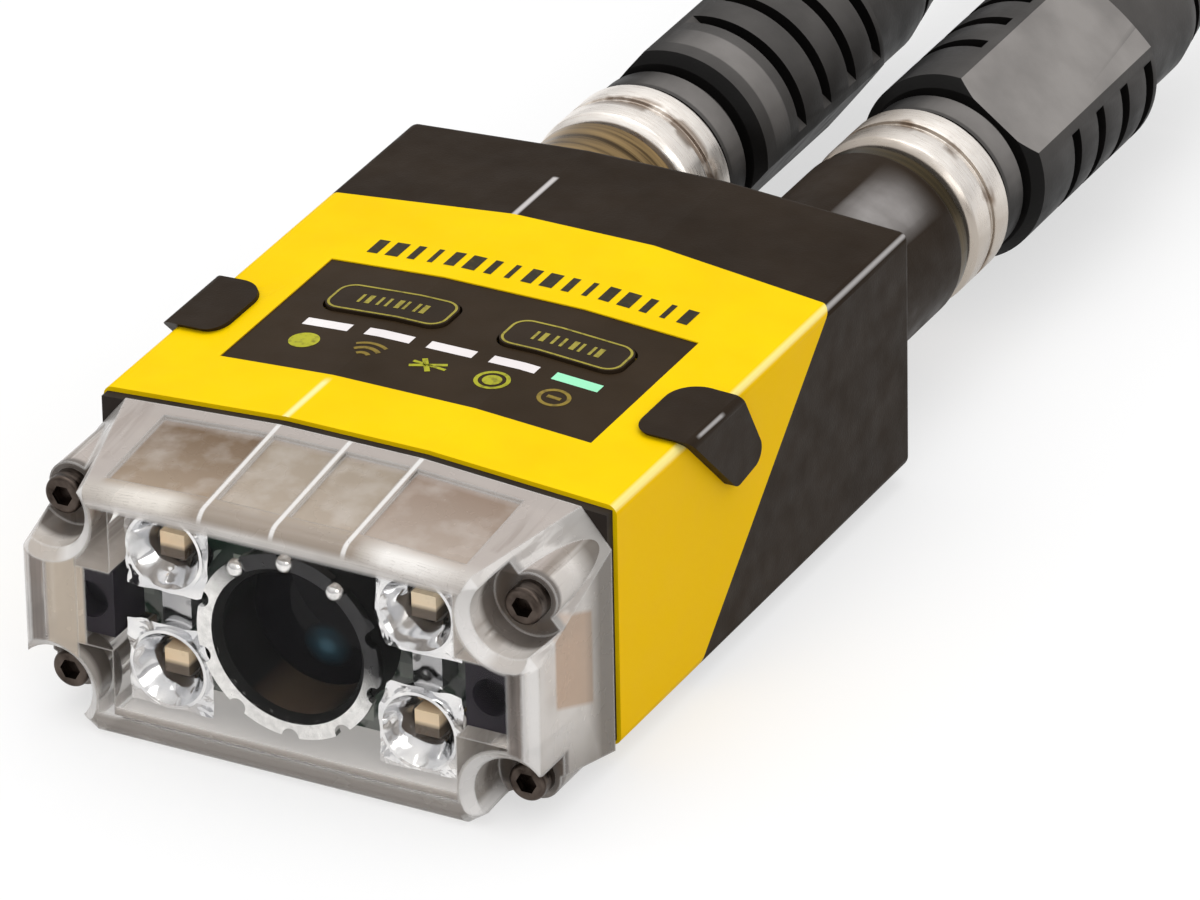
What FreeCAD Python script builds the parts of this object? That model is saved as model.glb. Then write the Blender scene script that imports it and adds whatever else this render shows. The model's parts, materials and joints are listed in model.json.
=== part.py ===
"""A compact fixed-mount barcode reader with two corded plugs.

Millimetres. +Z is up, the lens looks along -Y, and the origin lies under the middle of the reader.
"""
import FreeCAD, Part

import math
import os
import re

import Sketcher

V = FreeCAD.Vector

# Driving dimensions. Stations along Y count back from the seam, the front rim of the front shell.
SIZES = {
    # Housing section and length
    "housing_width": 42.4,
    "housing_height": 22.2,
    "roof_drop": 1.0,
    "ridge_half": 5.9,
    "base_inset": 8.2,
    "base_rise": 1.5,
    "wall": 1.8,
    "body_length": 47.6,
    "parting_top": 35.4,
    "parting_bottom": 10.8,
    "edge_round": 0.8,
    # Clear front window and its screws
    "window_depth": 13.2,
    "window_wall": 1.4,
    "window_round": 1.3,
    "window_corner": 5.6,
    "window_low": 4.6,
    "window_facet": 8.5,
    "window_fall": 2.0,
    "window_crown_fall": 1.6,
    "window_back_facet": 4.0,
    "window_back_corner": 2.4,
    "window_back_sink": 0.2,
    "window_boss_radius": 2.0,
    "pane_depth": 0.35,
    "pane_rib": 0.6,
    "pane_rim": 0.8,
    "pane_front": 2.3,
    "pane_back": 1.3,
    "gasket_thick": 0.9,
    "gasket_inset": 0.35,
    "screw_inset": 2.3,
    "screw_low": 3.1,
    "screw_drop": 4.6,
    "screw_radius": 1.25,
    "screw_reach": 6.0,
    "screw_head_radius": 1.5,
    "screw_head_height": 1.6,
    "screw_head_round": 0.3,
    "screw_hex": 0.85,
    "screw_hex_depth": 1.0,
    "recess_radius": 3.1,
    "recess_flare": 0.8,
    "recess_depth": 4.5,
    "boss_radius": 2.6,
    # Top panel, lights and keys
    "panel_inset": 5.8,
    "panel_front": 7.1,
    "panel_back": 24.2,
    "panel_depth": 1.1,
    "panel_sink": 0.1,
    "light_count": 5,
    "light_pitch": 5.2,
    "light_station": 14.5,
    "light_length": 3.8,
    "light_width": 1.1,
    "pipe_inset": 0.3,
    "pipe_length": 2.2,
    "key_across": 7.3,
    "key_station": 18.8,
    "key_length": 10.2,
    "key_width": 4.2,
    "key_round": 1.4,
    "key_proud": 0.1,
    "key_sink": 0.2,
    "key_travel": 0.4,
    "key_gap": 0.15,
    "key_stem_radius": 1.0,
    "key_stem_length": 2.35,
    "key_bridge": 1.2,
    # Corner caps
    "cap_reach": 4.0,
    "cap_proud": 0.9,
    "cap_rise": 0.4,
    "cap_front": 10.4,
    "cap_back": 18.4,
    "cap_tip_back": 17.1,
    "cap_tip_drop": 7.7,
    "cap_heel_back": 21.8,
    "cap_heel_drop": 7.1,
    "cap_round": 2.4,
    "cap_front_round": 1.4,
    "cap_foot_round": 1.2,
    "cap_edge_round": 0.7,
    # Optics
    "lens_drop": 1.0,
    "lens_radius": 5.7,
    "barrel_radius": 6.9,
    "barrel_front": 10.2,
    "barrel_back": 5.0,
    "ring_bore_radius": 6.3,
    "ring_radius": 7.5,
    "ring_depth": 0.7,
    "ring_notches": 10,
    "ring_notch_radius": 0.7,
    "lens_thick": 1.8,
    "lens_inset": 1.4,
    "lens_sink": 3.4,
    "lens_dome_radius": 14.0,
    "lamp_low_rise": 3.4,
    "lamp_high_drop": 3.7,
    "lamp_board_front": 6.4,
    "board_thick": 1.2,
    "lamp_board_gap": 1.0,
    "lamp_board_low": 2.0,
    "lamp_board_drop": 3.4,
    "reflector_depth": 4.0,
    "reflector_overhang": 0.05,
    "reflector_edge": 0.2,
    "reflector_rim": 0.25,
    "reflector_web": 1.2,
    "reflector_web_sink": 1.6,
    "cup_radius": 2.95,
    "cup_floor_radius": 1.6,
    "cup_depth": 2.0,
    "chip_width": 2.0,
    "chip_height": 2.7,
    "aimer_inset": 2.6,
    "aimer_width": 4.1,
    "aimer_rise": 1.0,
    "aimer_drop": 1.8,
    "aimer_depth": 4.3,
    "aimer_gap": 0.5,
    "aimer_bore": 1.5,
    "holder_half": 7.6,
    "sensor_station": 9.0,
    "sensor_board_inset": 8.4,
    "sensor_board_rise": 7.3,
    "sensor_half": 4.4,
    "sensor_thick": 1.4,
    # Main board
    "main_board_front": 12.6,
    "main_board_back": 42.4,
    "main_board_drop": 6.6,
    "switch_half": 2.3,
    "switch_height": 1.0,
    "led_half": 0.8,
    "led_height": 0.7,
    "processor_half": 6.0,
    "processor_station": 32.0,
    "processor_height": 1.4,
    # Base inserts
    "mount_spacing_across": 20.0,
    "mount_spacing_along": 24.0,
    "mount_station": 16.0,
    "insert_radius": 2.0,
    "insert_bore_radius": 1.25,
    "insert_length": 4.5,
    "insert_sink": 0.1,
    "insert_boss_radius": 3.2,
    "insert_boss_height": 5.6,
    # Sockets in the rear collars
    "socket_spacing": 21.2,
    "socket_drop": 0.3,
    "network_collar": 64.6,
    "power_collar": 59.0,
    "network_shell": 1.2,
    "power_shell": 5.4,
    "shell_radius": 7.05,
    "collar_radius": 7.3,
    "collar_round": 0.5,
    "socket_radius": 6.1,
    "socket_bore_radius": 4.6,
    "socket_flange_radius": 6.6,
    "socket_flange": 2.0,
    "thread_radius": 5.9,
    "thread_length": 4.8,
    "insert_face": 1.0,
    "contact_radius": 0.5,
    "contact_circle": 2.2,
    "contact_count": 4,
    "contact_reach": 3.4,
    "contact_tail": 2.0,
    "fit_gap": 0.04,
    # Plugs and coupling nuts, stations from the end of the collar
    "nut_gap": 0.9,
    "nut_length": 6.3,
    "nut_radius": 7.3,
    "nut_bore_radius": 6.2,
    "nut_neck_radius": 5.2,
    "nut_floor": 1.4,
    "nut_groove_width": 0.8,
    "nut_groove_depth": 0.35,
    "nut_bevel": 0.5,
    "running_gap": 0.2,
    "plug_nose_radius": 4.2,
    "plug_nose_bore": 3.5,
    "plug_nose_depth": 0.8,
    "plug_flange_radius": 5.9,
    "plug_sleeve_radius": 4.9,
    "plug_ring_radius": 6.9,
    "plug_ring_length": 2.7,
    "plug_groove_radius": 6.2,
    "plug_groove_length": 1.0,
    "grip_radius": 7.9,
    "grip_flat": 6.7,
    "grip_length": 22.0,
    "grip_bevel": 0.8,
    "grip_turn": 37.0,
    "rib_count": 4,
    "rib_pitch": 4.35,
    "rib_gap": 1.3,
    "rib_first": 6.2,
    "rib_floor_radius": 6.8,
    "rib_clear": 4.9,
    "relief_radius": 6.3,
    "relief_length": 9.0,
    "relief_end_radius": 4.2,
    "relief_taper": 12.0,
    "relief_slots": 4,
    "relief_slot_width": 1.0,
    "relief_slot_depth": 1.0,
    # Cords and their tied hanks
    "cord_radius": 3.0,
    "hank_start": 125.0,
    "hank_half": 27.0,
    "hank_straight": 43.0,
    "hank_layers": 2,
    "hank_turns": 2,
    "tie_thick": 0.9,
    "tie_width": 9.0,
    "tie_station": 57.0,
    "tail_length": 24.0,
    "power_tail_start": 28.0,
    "core_radius": 0.75,
    "core_circle": 1.55,
    "core_count": 5,
    "core_length": 19.0,
    "jack_width": 11.7,
    "jack_height": 8.2,
    "jack_length": 21.5,
    "jack_boot_radius": 3.9,
    "jack_boot_length": 11.0,
    "jack_start": 14.0,
    "latch_width": 6.2,
    "latch_thick": 1.2,
    "latch_length": 15.0,
    "latch_rise": 2.6,
}

# Places worked out from the driving dimensions.
PLACES = {
    "half": "housing_width / 2",
    "base_half": "half - base_inset",
    "shoulder": "housing_height - roof_drop",
    "roof_fall": "roof_drop / (half - ridge_half)",
    "seam": "(window_depth - network_collar - thread_length) / 2",
    "rear": "seam + body_length",
    "parting_lean": "(parting_top - parting_bottom) / housing_height",
    "window_front": "seam - window_depth",
    "window_back": "seam - gasket_thick",
    "window_half": "half - window_corner",
    "window_back_half": "half - window_back_corner",
    "window_high": "housing_height - window_facet",
    "window_top": "housing_height - window_fall",
    "window_crown": "housing_height - window_crown_fall",
    "window_back_high": "housing_height - window_back_facet",
    "window_back_crown": "housing_height - window_back_sink",
    "screw_across": "half - screw_inset",
    "screw_high": "housing_height - screw_drop",
    "recess_floor": "window_front + recess_depth",
    "panel_half": "half - panel_inset",
    "panel_floor": "housing_height - panel_depth",
    "key_bottom": "panel_floor - key_sink",
    "well_floor": "key_bottom - key_travel - key_gap",
    "stem_bottom": "key_bottom - key_stem_length",
    "cap_inner": "half - cap_reach",
    "cap_outer": "half + cap_proud",
    "cap_tip_height": "housing_height - cap_tip_drop",
    "cap_heel_height": "housing_height - cap_heel_drop",
    "cap_front_lean": "(cap_tip_back - cap_front) / (shoulder - cap_tip_height)",
    "cap_back_lean": "(cap_heel_back - cap_back) / (shoulder - cap_heel_height)",
    "pipe_bottom": "panel_floor - pipe_length",
    "lens_height": "housing_height / 2 - lens_drop",
    "aimer_outer": "half - aimer_inset",
    "aimer_inner": "aimer_outer - aimer_width",
    "aimer_low": "screw_low + recess_radius + aimer_rise",
    "aimer_high": "screw_high - recess_radius - aimer_drop",
    "lamp_board_half": "aimer_inner - lamp_board_gap",
    "lamp_board_high": "housing_height - lamp_board_drop",
    "lamp_across": "lamp_board_half + reflector_overhang - cup_radius - reflector_rim",
    "lamp_low": "lamp_board_low + lamp_low_rise",
    "lamp_high": "lamp_board_high - lamp_high_drop",
    "sensor_board_half": "half - sensor_board_inset",
    "sensor_board_high": "lens_height + sensor_board_rise",
    "lamp_board": "seam - lamp_board_front",
    "lamp_board_rear": "lamp_board + board_thick",
    "reflector_front": "lamp_board - reflector_depth",
    "barrel_face": "seam - barrel_front",
    "sensor_board": "seam + sensor_station",
    "main_board_low": "housing_height - main_board_drop",
    "main_board_top": "main_board_low + board_thick",
    "socket_across": "socket_spacing / 2",
    "socket_height": "housing_height / 2 - socket_drop",
    "socket_inner": "rear - wall - socket_flange",
    "cord_diameter": "2 * cord_radius",
    "hank_bottom": "tie_thick",
    "hank_height": "cord_diameter * hank_layers",
    "hank_inner": "hank_half - cord_diameter * hank_turns",
    "hank_near": "hank_start + hank_half",
    "hank_far": "hank_near + hank_straight",
    "hank_top": "hank_bottom + 2 * hank_height",
}

# Radius of a new sketch's ring of corners, before its sizes are tied
SKETCH_START = 10
# Share of a cord's shorter run that an arc takes up
ARC_SHARE = 0.45

doc = FreeCAD.newDocument("BarcodeReader")
NODES = []


def fill_sheet():
    """Writes the driving dimensions to a sheet, one aliased cell each."""
    sheet = doc.addObject("Spreadsheet::Sheet", "Sizes")
    for row, (name, value) in enumerate(SIZES.items(), start=1):
        sheet.set(f"A{row}", name)
        sheet.set(f"B{row}", str(value))
        sheet.setAlias(f"B{row}", name)
    doc.recompute()


def full(text):
    """Turns the plain words of a size into references to the sheet and the layout."""

    def word(match):
        name = match.group(0)
        return ("Sizes." if name in SIZES else "Layout.") + name

    return re.sub(r"[a-z]\w*", word, str(text))


def fill_layout():
    """Keeps the worked-out places as properties that follow the sheet."""
    layout = doc.addObject("App::VarSet", "Layout")
    for name in PLACES:
        layout.addProperty("App::PropertyFloat", name)
    for name, text in PLACES.items():
        layout.setExpression(name, full(text).replace("Layout.", ""))
    doc.recompute()
    return layout


def place(thing, x=0, y=0, z=0):
    """Ties a piece's position to the sheet."""
    for axis, text in (("x", x), ("y", y), ("z", z)):
        if str(text) != "0":
            thing.setExpression(f"Placement.Base.{axis}", full(text))
    return thing


def box(name, x, y, z):
    """A block between two stations along each axis."""
    block = doc.addObject("Part::Box", name)
    for side, (low, high) in zip(("Length", "Width", "Height"), (x, y, z)):
        block.setExpression(side, full(f"({high}) - ({low})"))
    return place(block, x[0], y[0], z[0])


def rod(name, x, z, radius, y):
    """A cylinder along Y between two stations."""
    bar = doc.addObject("Part::Cylinder", name)
    bar.Placement.Rotation = FreeCAD.Rotation(V(1, 0, 0), -90)
    bar.setExpression("Radius", full(radius))
    bar.setExpression("Height", full(f"({y[1]}) - ({y[0]})"))
    return place(bar, x, y[0], z)


def post(name, x, y, radius, z):
    """An upright cylinder between two heights."""
    bar = doc.addObject("Part::Cylinder", name)
    bar.setExpression("Radius", full(radius))
    bar.setExpression("Height", full(f"({z[1]}) - ({z[0]})"))
    return place(bar, x, y, z[0])


def outline(body, plane, corners):
    """A closed sketch on one of the body's planes, each corner tied to the sheet."""
    sketch = body.newObject("Sketcher::SketchObject", body.Name + "Sketch")
    support = [part for part in body.Origin.OriginFeatures if part.Role == plane]
    sketch.AttachmentSupport = [(support[0], "")]
    sketch.MapMode = "FlatFace"
    count = len(corners)
    ring = [2 * math.pi * step / count for step in range(count)]
    start = [V(math.cos(turn), math.sin(turn), 0) * SKETCH_START for turn in ring]
    for step in range(count):
        sketch.addGeometry(Part.LineSegment(start[step], start[(step + 1) % count]), False)
    for step in range(count):
        sketch.addConstraint(Sketcher.Constraint("Coincident", step, 2, (step + 1) % count, 1))
    for step, corner in enumerate(corners):
        for kind, guess, text in zip(("DistanceX", "DistanceY"), start[step], corner):
            number = sketch.addConstraint(Sketcher.Constraint(kind, -1, 1, step, 1, guess))
            sketch.setExpression(f"Constraints[{number}]", full(text))
    return sketch


PLANES = {"x": "YZ_Plane", "y": "XZ_Plane", "z": "XY_Plane"}


def prism(name, axis, corners, start, end):
    """A pad of a closed outline along one axis, between two stations."""
    body = doc.addObject("PartDesign::Body", name)
    sketch = outline(body, PLANES[axis], corners)
    pad = body.newObject("PartDesign::Pad", name + "Pad")
    pad.Profile = sketch
    pad.setExpression("Length", full(f"({end}) - ({start})"))
    pad.Reversed = axis == "y"
    return place(body, **{axis: start})


def turned(name, corners, x, y, z):
    """A piece turned about an axis along Y: corners are pairs of radius and station."""
    body = doc.addObject("PartDesign::Body", name)
    sketch = outline(body, "XY_Plane", corners)
    turn = body.newObject("PartDesign::Revolution", name + "Turn")
    turn.Profile = sketch
    turn.ReferenceAxis = (sketch, ["V_Axis"])
    turn.Angle = 360
    return place(body, x, y, z)


def loft(name, sections):
    """A straight-sided loft through outlines at stations along Y."""
    body = doc.addObject("PartDesign::Body", name)
    sketches = []
    for station, corners in sections:
        sketch = outline(body, "XZ_Plane", corners)
        sketch.setExpression("AttachmentOffset.Base.z", full(f"-({station})"))
        sketches.append(sketch)
    blend = body.newObject("PartDesign::AdditiveLoft", name + "Loft")
    blend.Profile = sketches[0]
    blend.Sections = sketches[1:]
    blend.Ruled = True
    return body


def fuse(name, *things):
    """One solid out of several that meet."""
    union = doc.addObject("Part::MultiFuse", name)
    union.Shapes = list(things)
    return union


def common(name, *things):
    """What several solids share."""
    shared = doc.addObject("Part::MultiCommon", name)
    shared.Shapes = list(things)
    return shared


def cut(name, base, *tools):
    """A solid less the tools."""
    result = doc.addObject("Part::Cut", name)
    result.Base = base
    result.Tool = tools[0] if len(tools) == 1 else fuse(name + "Tools", *tools)
    return result


def group(name, things):
    """Like pieces that share a node as separate solids."""
    bundle = doc.addObject("Part::Compound", name)
    bundle.Links = list(things)
    return bundle


def mirrored(name, source):
    """The same piece on the other side of the middle plane."""
    twin = doc.addObject("Part::Mirroring", name)
    twin.Source = source
    twin.Normal = V(1, 0, 0)
    return twin


def rounded(name, base, radius, test):
    """Fillets on the edges that a test picks."""
    doc.recompute()
    edges = base.Shape.Edges
    picked = [number for number, edge in enumerate(edges, start=1) if test(edge)]
    soft = doc.addObject("Part::Fillet", name)
    soft.Base = base
    soft.Edges = [(number, radius, radius) for number in picked]
    return soft


def near(value, target):
    return abs(value - target) < 1e-4


def along(edge, axis):
    """Whether an edge is a straight line along an axis."""
    ends = [vertex.Point for vertex in edge.Vertexes]
    if len(ends) != 2:
        return False
    run = ends[1] - ends[0]
    sides = {"x": run.x, "y": run.y, "z": run.z}
    others = [abs(length) for name, length in sides.items() if name != axis]
    return abs(sides[axis]) > 1e-3 and max(others) < 1e-4


def keep(thing, label):
    """Names a finished piece."""
    thing.Label = label
    NODES.append(thing)
    return thing


def size(name):
    return float(SIZES[name])


def copies(name):
    """A size that counts pieces."""
    return round(SIZES[name])


fill_sheet()
layout = fill_layout()

# Housing section: flat base, upright sides and a roof of three shallow facets
SECTION = [
    ("-base_half", "0"),
    ("base_half", "0"),
    ("half", "base_rise"),
    ("half", "shoulder"),
    ("ridge_half", "housing_height"),
    ("-ridge_half", "housing_height"),
    ("-half", "shoulder"),
    ("-half", "base_rise"),
]
HOLLOW = [
    ("-base_half", "wall"),
    ("base_half", "wall"),
    ("half - wall", "base_rise + wall"),
    ("half - wall", "shoulder - wall"),
    ("ridge_half", "housing_height - wall"),
    ("-ridge_half", "housing_height - wall"),
    ("-half + wall", "shoulder - wall"),
    ("-half + wall", "base_rise + wall"),
]
FRONT_SIDE = [
    ("seam", "-wall"),
    ("seam + parting_bottom - parting_lean * wall", "-wall"),
    ("seam + parting_top + parting_lean * wall", "housing_height + wall"),
    ("seam", "housing_height + wall"),
]


def outer_edge(edge):
    """The long side edges of the housing and the outline of its rear face."""
    middle = edge.BoundBox.Center
    at_side = near(abs(middle.x), layout.half) and along(edge, "y")
    return at_side or near(edge.BoundBox.YMin, layout.rear)


housing_block = prism("HousingBlock", "y", SECTION, "seam", "rear")
housing = rounded("HousingRounded", housing_block, size("edge_round"), outer_edge)
hollow = prism("HousingHollow", "y", HOLLOW, "seam - wall", "rear - wall")
front_side = prism("FrontSide", "x", FRONT_SIDE, "-half - wall", "half + wall")
front_block = common("FrontBlock", housing, front_side)
rear_block = cut("RearBlock", housing, front_side)
SIDES = (("Left", "-"), ("Right", ""))
CORNERS = [
    (side + level, f"{sign}screw_across", f"screw_{height}")
    for side, sign in SIDES
    for level, height in (("Low", "low"), ("High", "high"))
]


def corner_rods(name, radius, start, end):
    """Four rods on the axes of the window screws."""
    return [rod(name + corner, x, z, radius, (start, end)) for corner, x, z in CORNERS]


# Top panel with its light windows and key openings
def crown(name, bottom, lift, start, end, spread="panel_half"):
    """A block under the roof's three facets, raised or sunk by a lift."""
    edge = f"housing_height + {lift} - roof_fall * ({spread} - ridge_half)"
    corners = [
        (f"-({spread})", bottom),
        (spread, bottom),
        (spread, edge),
        ("ridge_half", f"housing_height + {lift}"),
        ("-ridge_half", f"housing_height + {lift}"),
        (f"-({spread})", edge),
    ]
    return prism(name, "y", corners, start, end)


PANEL_SPAN = ("seam + panel_front", "seam + panel_back")
panel_block = crown("PanelBlock", "panel_floor", "(-panel_sink)", *PANEL_SPAN)
panel_pocket = box(
    "PanelPocket", ("-panel_half", "panel_half"), PANEL_SPAN, ("panel_floor", "housing_height + wall")
)
key_crown = crown("KeyCrown", "key_bottom", "key_proud", *PANEL_SPAN)


def upright(edge):
    return along(edge, "z")


def key_block(name, sign, gap, bottom):
    """A key's plan, rounded at its corners and grown by a gap."""
    centre = f"{sign}key_across"
    x = (f"{centre} - key_length / 2 - {gap}", f"{centre} + key_length / 2 + {gap}")
    y = (
        f"seam + key_station - key_width / 2 - {gap}",
        f"seam + key_station + key_width / 2 + {gap}",
    )
    plain = box(name + "Plain", x, y, (bottom, "housing_height + wall"))
    return rounded(name, plain, size("key_round"), upright)


KEYS = (("Tune", "-", "tune_key"), ("Trigger", "", "trigger_key"))
key_wells = []
stem_holes = []
for key, sign, label in KEYS:
    key_wells.append(key_block(key + "Well", sign, "key_gap", "well_floor"))
    stem_holes.append(
        post(
            key + "StemHole",
            f"{sign}key_across",
            "seam + key_station",
            "key_stem_radius + key_gap",
            ("well_floor - 2 * key_bridge", "housing_height"),
        )
    )
    cap = common(key + "Cap", key_block(key + "Block", sign, "0", "key_bottom"), key_crown)
    stem = post(
        key + "Stem",
        f"{sign}key_across",
        "seam + key_station",
        "key_stem_radius",
        ("stem_bottom", "key_bottom"),
    )
    keep(fuse(key + "Key", cap, stem), label)


def light_across(number):
    """The place of a light in its row, counted from the middle."""
    return f"(light_pitch * {number - (copies('light_count') - 1) / 2})"


light_slots = []
light_pipes = []
for number in range(copies("light_count")):
    centre = light_across(number)
    x = (f"{centre} - light_length / 2", f"{centre} + light_length / 2")
    y = ("seam + light_station - light_width / 2", "seam + light_station + light_width / 2")
    slot = box(f"LightSlot{number}", x, y, ("panel_floor", "housing_height + wall"))
    pipe = box(
        f"LightPipe{number}",
        (f"{x[0]} + pipe_inset", f"{x[1]} - pipe_inset"),
        (f"{y[0]} + pipe_inset", f"{y[1]} - pipe_inset"),
        ("pipe_bottom", "panel_floor"),
    )
    face = common(f"LightFace{number}", slot, panel_block)
    keep(fuse(f"Light{number}", face, pipe), f"indicator_light_{number + 1}")
    light_slots.append(slot)
    light_pipes.append(pipe)
keep(cut("Panel", panel_block, *light_slots, *key_wells), "indicator_panel")

# Corner caps over the two upper edges
CAP_TOP = "housing_height + wall"
CAP_SIDE = [
    ("seam + cap_front - cap_front_lean * (roof_drop + wall)", CAP_TOP),
    ("seam + cap_tip_back", "cap_tip_height"),
    ("seam + cap_heel_back", "cap_heel_height"),
    ("seam + cap_back - cap_back_lean * (roof_drop + wall)", CAP_TOP),
]
cap_side = prism("CapSide", "x", CAP_SIDE, "cap_inner", "cap_outer")
cap_lower = prism("CapLower", "x", CAP_SIDE, "cap_inner - wall", "cap_outer")
cap_limit = crown("CapLimit", "0", "cap_rise", "seam", "rear", spread="cap_outer")


def cap_corner(edge, foot):
    """A sloping corner of the cap's reach over the roof, known by the height of its foot."""
    limits = edge.BoundBox
    inner = near(limits.Center.x, layout.cap_inner)
    return inner and near(limits.ZMin, foot) and not along(edge, "y")


def cap_heel(edge):
    return cap_corner(edge, layout.cap_heel_height)


def cap_tip(edge):
    return cap_corner(edge, layout.cap_tip_height) and edge.BoundBox.ZMax > size("housing_height")


def cap_foot(edge):
    """The two lower corners of the cap on the side wall."""
    height = edge.BoundBox.ZMax
    corners = (layout.cap_tip_height, layout.cap_heel_height)
    return along(edge, "x") and any(near(height, corner) for corner in corners)


def cap_outer(edge):
    """The cap's long outer edge, over the housing's own."""
    middle = edge.BoundBox.Center
    return near(middle.x, layout.cap_outer) and along(edge, "y")


cap_back = rounded("CapBack", cap_side, size("cap_round"), cap_heel)
cap_round = rounded("CapRound", cap_back, size("cap_front_round"), cap_tip)
cap_feet = rounded("CapFeet", cap_lower, size("cap_foot_round"), cap_foot)
cap_plan = common("CapPlan", cap_round, cap_feet, cap_limit)
cap_plan_left = mirrored("CapPlanLeft", cap_plan)
cap_open = cut("CapOpen", cap_plan, hollow)
right_cap = rounded("RightCap", cap_open, size("cap_edge_round"), cap_outer)
keep(right_cap, "right_corner_cap")
keep(mirrored("LeftCap", right_cap), "left_corner_cap")

# Front shell: screw bosses, a bridge under the keys and the openings in its roof
front_shell = cut("FrontShell", front_block, hollow)
bosses = fuse("Bosses", *corner_rods("Boss", "boss_radius", "seam", "seam + screw_reach + wall"))
boss_parts = common("BossParts", bosses, front_block)
key_bridge = box(
    "KeyBridge",
    ("-key_across - key_length / 2 - wall", "key_across + key_length / 2 + wall"),
    ("seam + key_station - key_width / 2 - wall", "seam + key_station + key_width / 2 + wall"),
    ("well_floor - key_bridge", "panel_floor"),
)
keep(
    cut(
        "FrontHousing",
        fuse("FrontSolid", front_shell, boss_parts, key_bridge),
        panel_pocket,
        *key_wells,
        *stem_holes,
        *light_pipes,
        *corner_rods("ScrewTap", "screw_radius + fit_gap", "seam - wall", "seam + screw_reach + fit_gap"),
        cap_plan,
        cap_plan_left,
    ),
    "front_housing",
)

# Rear shell: two socket collars and the bosses of the base inserts
PORTS = (
    ("Network", "", "network_collar", "network_shell"),
    ("Power", "-", "power_collar", "power_shell"),
)
MOUNTS = [
    (
        f"{side}{row}",
        f"{sign}mount_spacing_across / 2",
        f"seam + mount_station + {row} * mount_spacing_along",
    )
    for side, sign in SIDES
    for row in (0, 1)
]


def collar_edge(edge):
    """The rim at the end of a collar."""
    ends = [layout.seam + size(collar) - size(shell) for port, sign, collar, shell in PORTS]
    return len(edge.Vertexes) == 1 and any(near(edge.BoundBox.YMin, end) for end in ends)


collars = [
    rod(
        port + "Collar",
        f"{sign}socket_across",
        "socket_height",
        "collar_radius",
        ("rear - wall", f"seam + {collar} - {shell}"),
    )
    for port, sign, collar, shell in PORTS
]
insert_bosses = [
    post("InsertBoss" + name, x, y, "insert_boss_radius", ("wall / 2", "insert_boss_height"))
    for name, x, y in MOUNTS
]
rear_shell = cut("RearShell", rear_block, hollow)
rear_solid = fuse("RearSolid", rear_shell, *collars, *insert_bosses)
rear_soft = rounded("RearSoft", rear_solid, size("collar_round"), collar_edge)
socket_holes = [
    rod(
        port + "Hole",
        f"{sign}socket_across",
        "socket_height",
        "socket_radius + fit_gap",
        ("rear - 2 * wall", f"seam + {collar} + wall"),
    )
    for port, sign, collar, shell in PORTS
]
insert_holes = [
    post("InsertHole" + name, x, y, "insert_radius + fit_gap", ("-wall", "insert_length"))
    for name, x, y in MOUNTS
]
keep(cut("RearHousing", rear_soft, *socket_holes, *insert_holes), "rear_housing")
inserts = [
    cut(
        "Insert" + name,
        post("InsertBody" + name, x, y, "insert_radius", ("insert_sink", "insert_length")),
        post("InsertBore" + name, x, y, "insert_bore_radius", ("-wall", "insert_length + wall")),
    )
    for name, x, y in MOUNTS
]
keep(group("MountingInserts", inserts), "mounting_inserts")


# Clear window: a faceted hood with bevelled corners that hold the screws
def both_sides(right):
    """An outline from its right half, bottom to top."""
    return right + [("-(" + x + ")", z) for x, z in reversed(right)]


WINDOW_BACK = both_sides(
    [
        ("base_half", "0"),
        ("half", "base_rise"),
        ("half", "window_back_high"),
        (
            "window_back_half",
            "window_back_crown - roof_fall * (window_back_half - ridge_half)",
        ),
        ("ridge_half", "window_back_crown"),
    ]
)
WINDOW_FRONT = both_sides(
    [
        ("window_half", "0"),
        ("half", "window_low"),
        ("half", "window_high"),
        ("window_half", "window_top"),
        ("ridge_half", "window_crown"),
    ]
)
WINDOW_CAVITY = [
    ("window_front + window_wall", "window_wall"),
    ("window_back + wall", "window_wall"),
    ("window_back + wall", "shoulder - window_wall"),
    ("window_front + window_wall", "window_top - window_wall"),
]
CAVITY_HALF = "(window_half - window_wall)"
PANE_TOP = "housing_height + wall"
PANE_BACK = both_sides(
    [
        ("window_half", PANE_TOP),
        ("window_half", "window_back_crown - roof_fall * (window_half - ridge_half) - pane_depth"),
        ("ridge_half", "window_back_crown - pane_depth"),
    ]
)
PANE_FRONT = both_sides(
    [
        ("window_half", PANE_TOP),
        ("window_half", "window_top - pane_depth"),
        ("ridge_half", "window_crown - pane_depth"),
    ]
)
PANES = (
    ("Outer", "ridge_half + pane_rib / 2", "window_half - pane_rim"),
    ("Inner", "pane_rib / 2", "ridge_half - pane_rib / 2"),
)


def window_edge(edge):
    """The outline of the window's front face."""
    limits = edge.BoundBox
    return near(limits.YMin, layout.window_front) and near(limits.YMax, layout.window_front)


def flare(corner, x, z):
    """The widened mouth of a screw's recess."""
    mouth = doc.addObject("Part::Cone", "Flare" + corner)
    mouth.Placement.Rotation = FreeCAD.Rotation(V(1, 0, 0), -90)
    mouth.setExpression("Radius1", full("recess_radius + 2 * recess_flare"))
    mouth.setExpression("Radius2", full("recess_radius"))
    mouth.setExpression("Height", full("2 * recess_flare"))
    return place(mouth, x, "window_front - recess_flare", z)


def pane(name, inner, outer):
    """The plan of one pane in the window's roof."""
    y = ("window_front + pane_front", "window_back - pane_back")
    return box(name, (inner, outer), y, ("lens_height", PANE_TOP))


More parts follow.
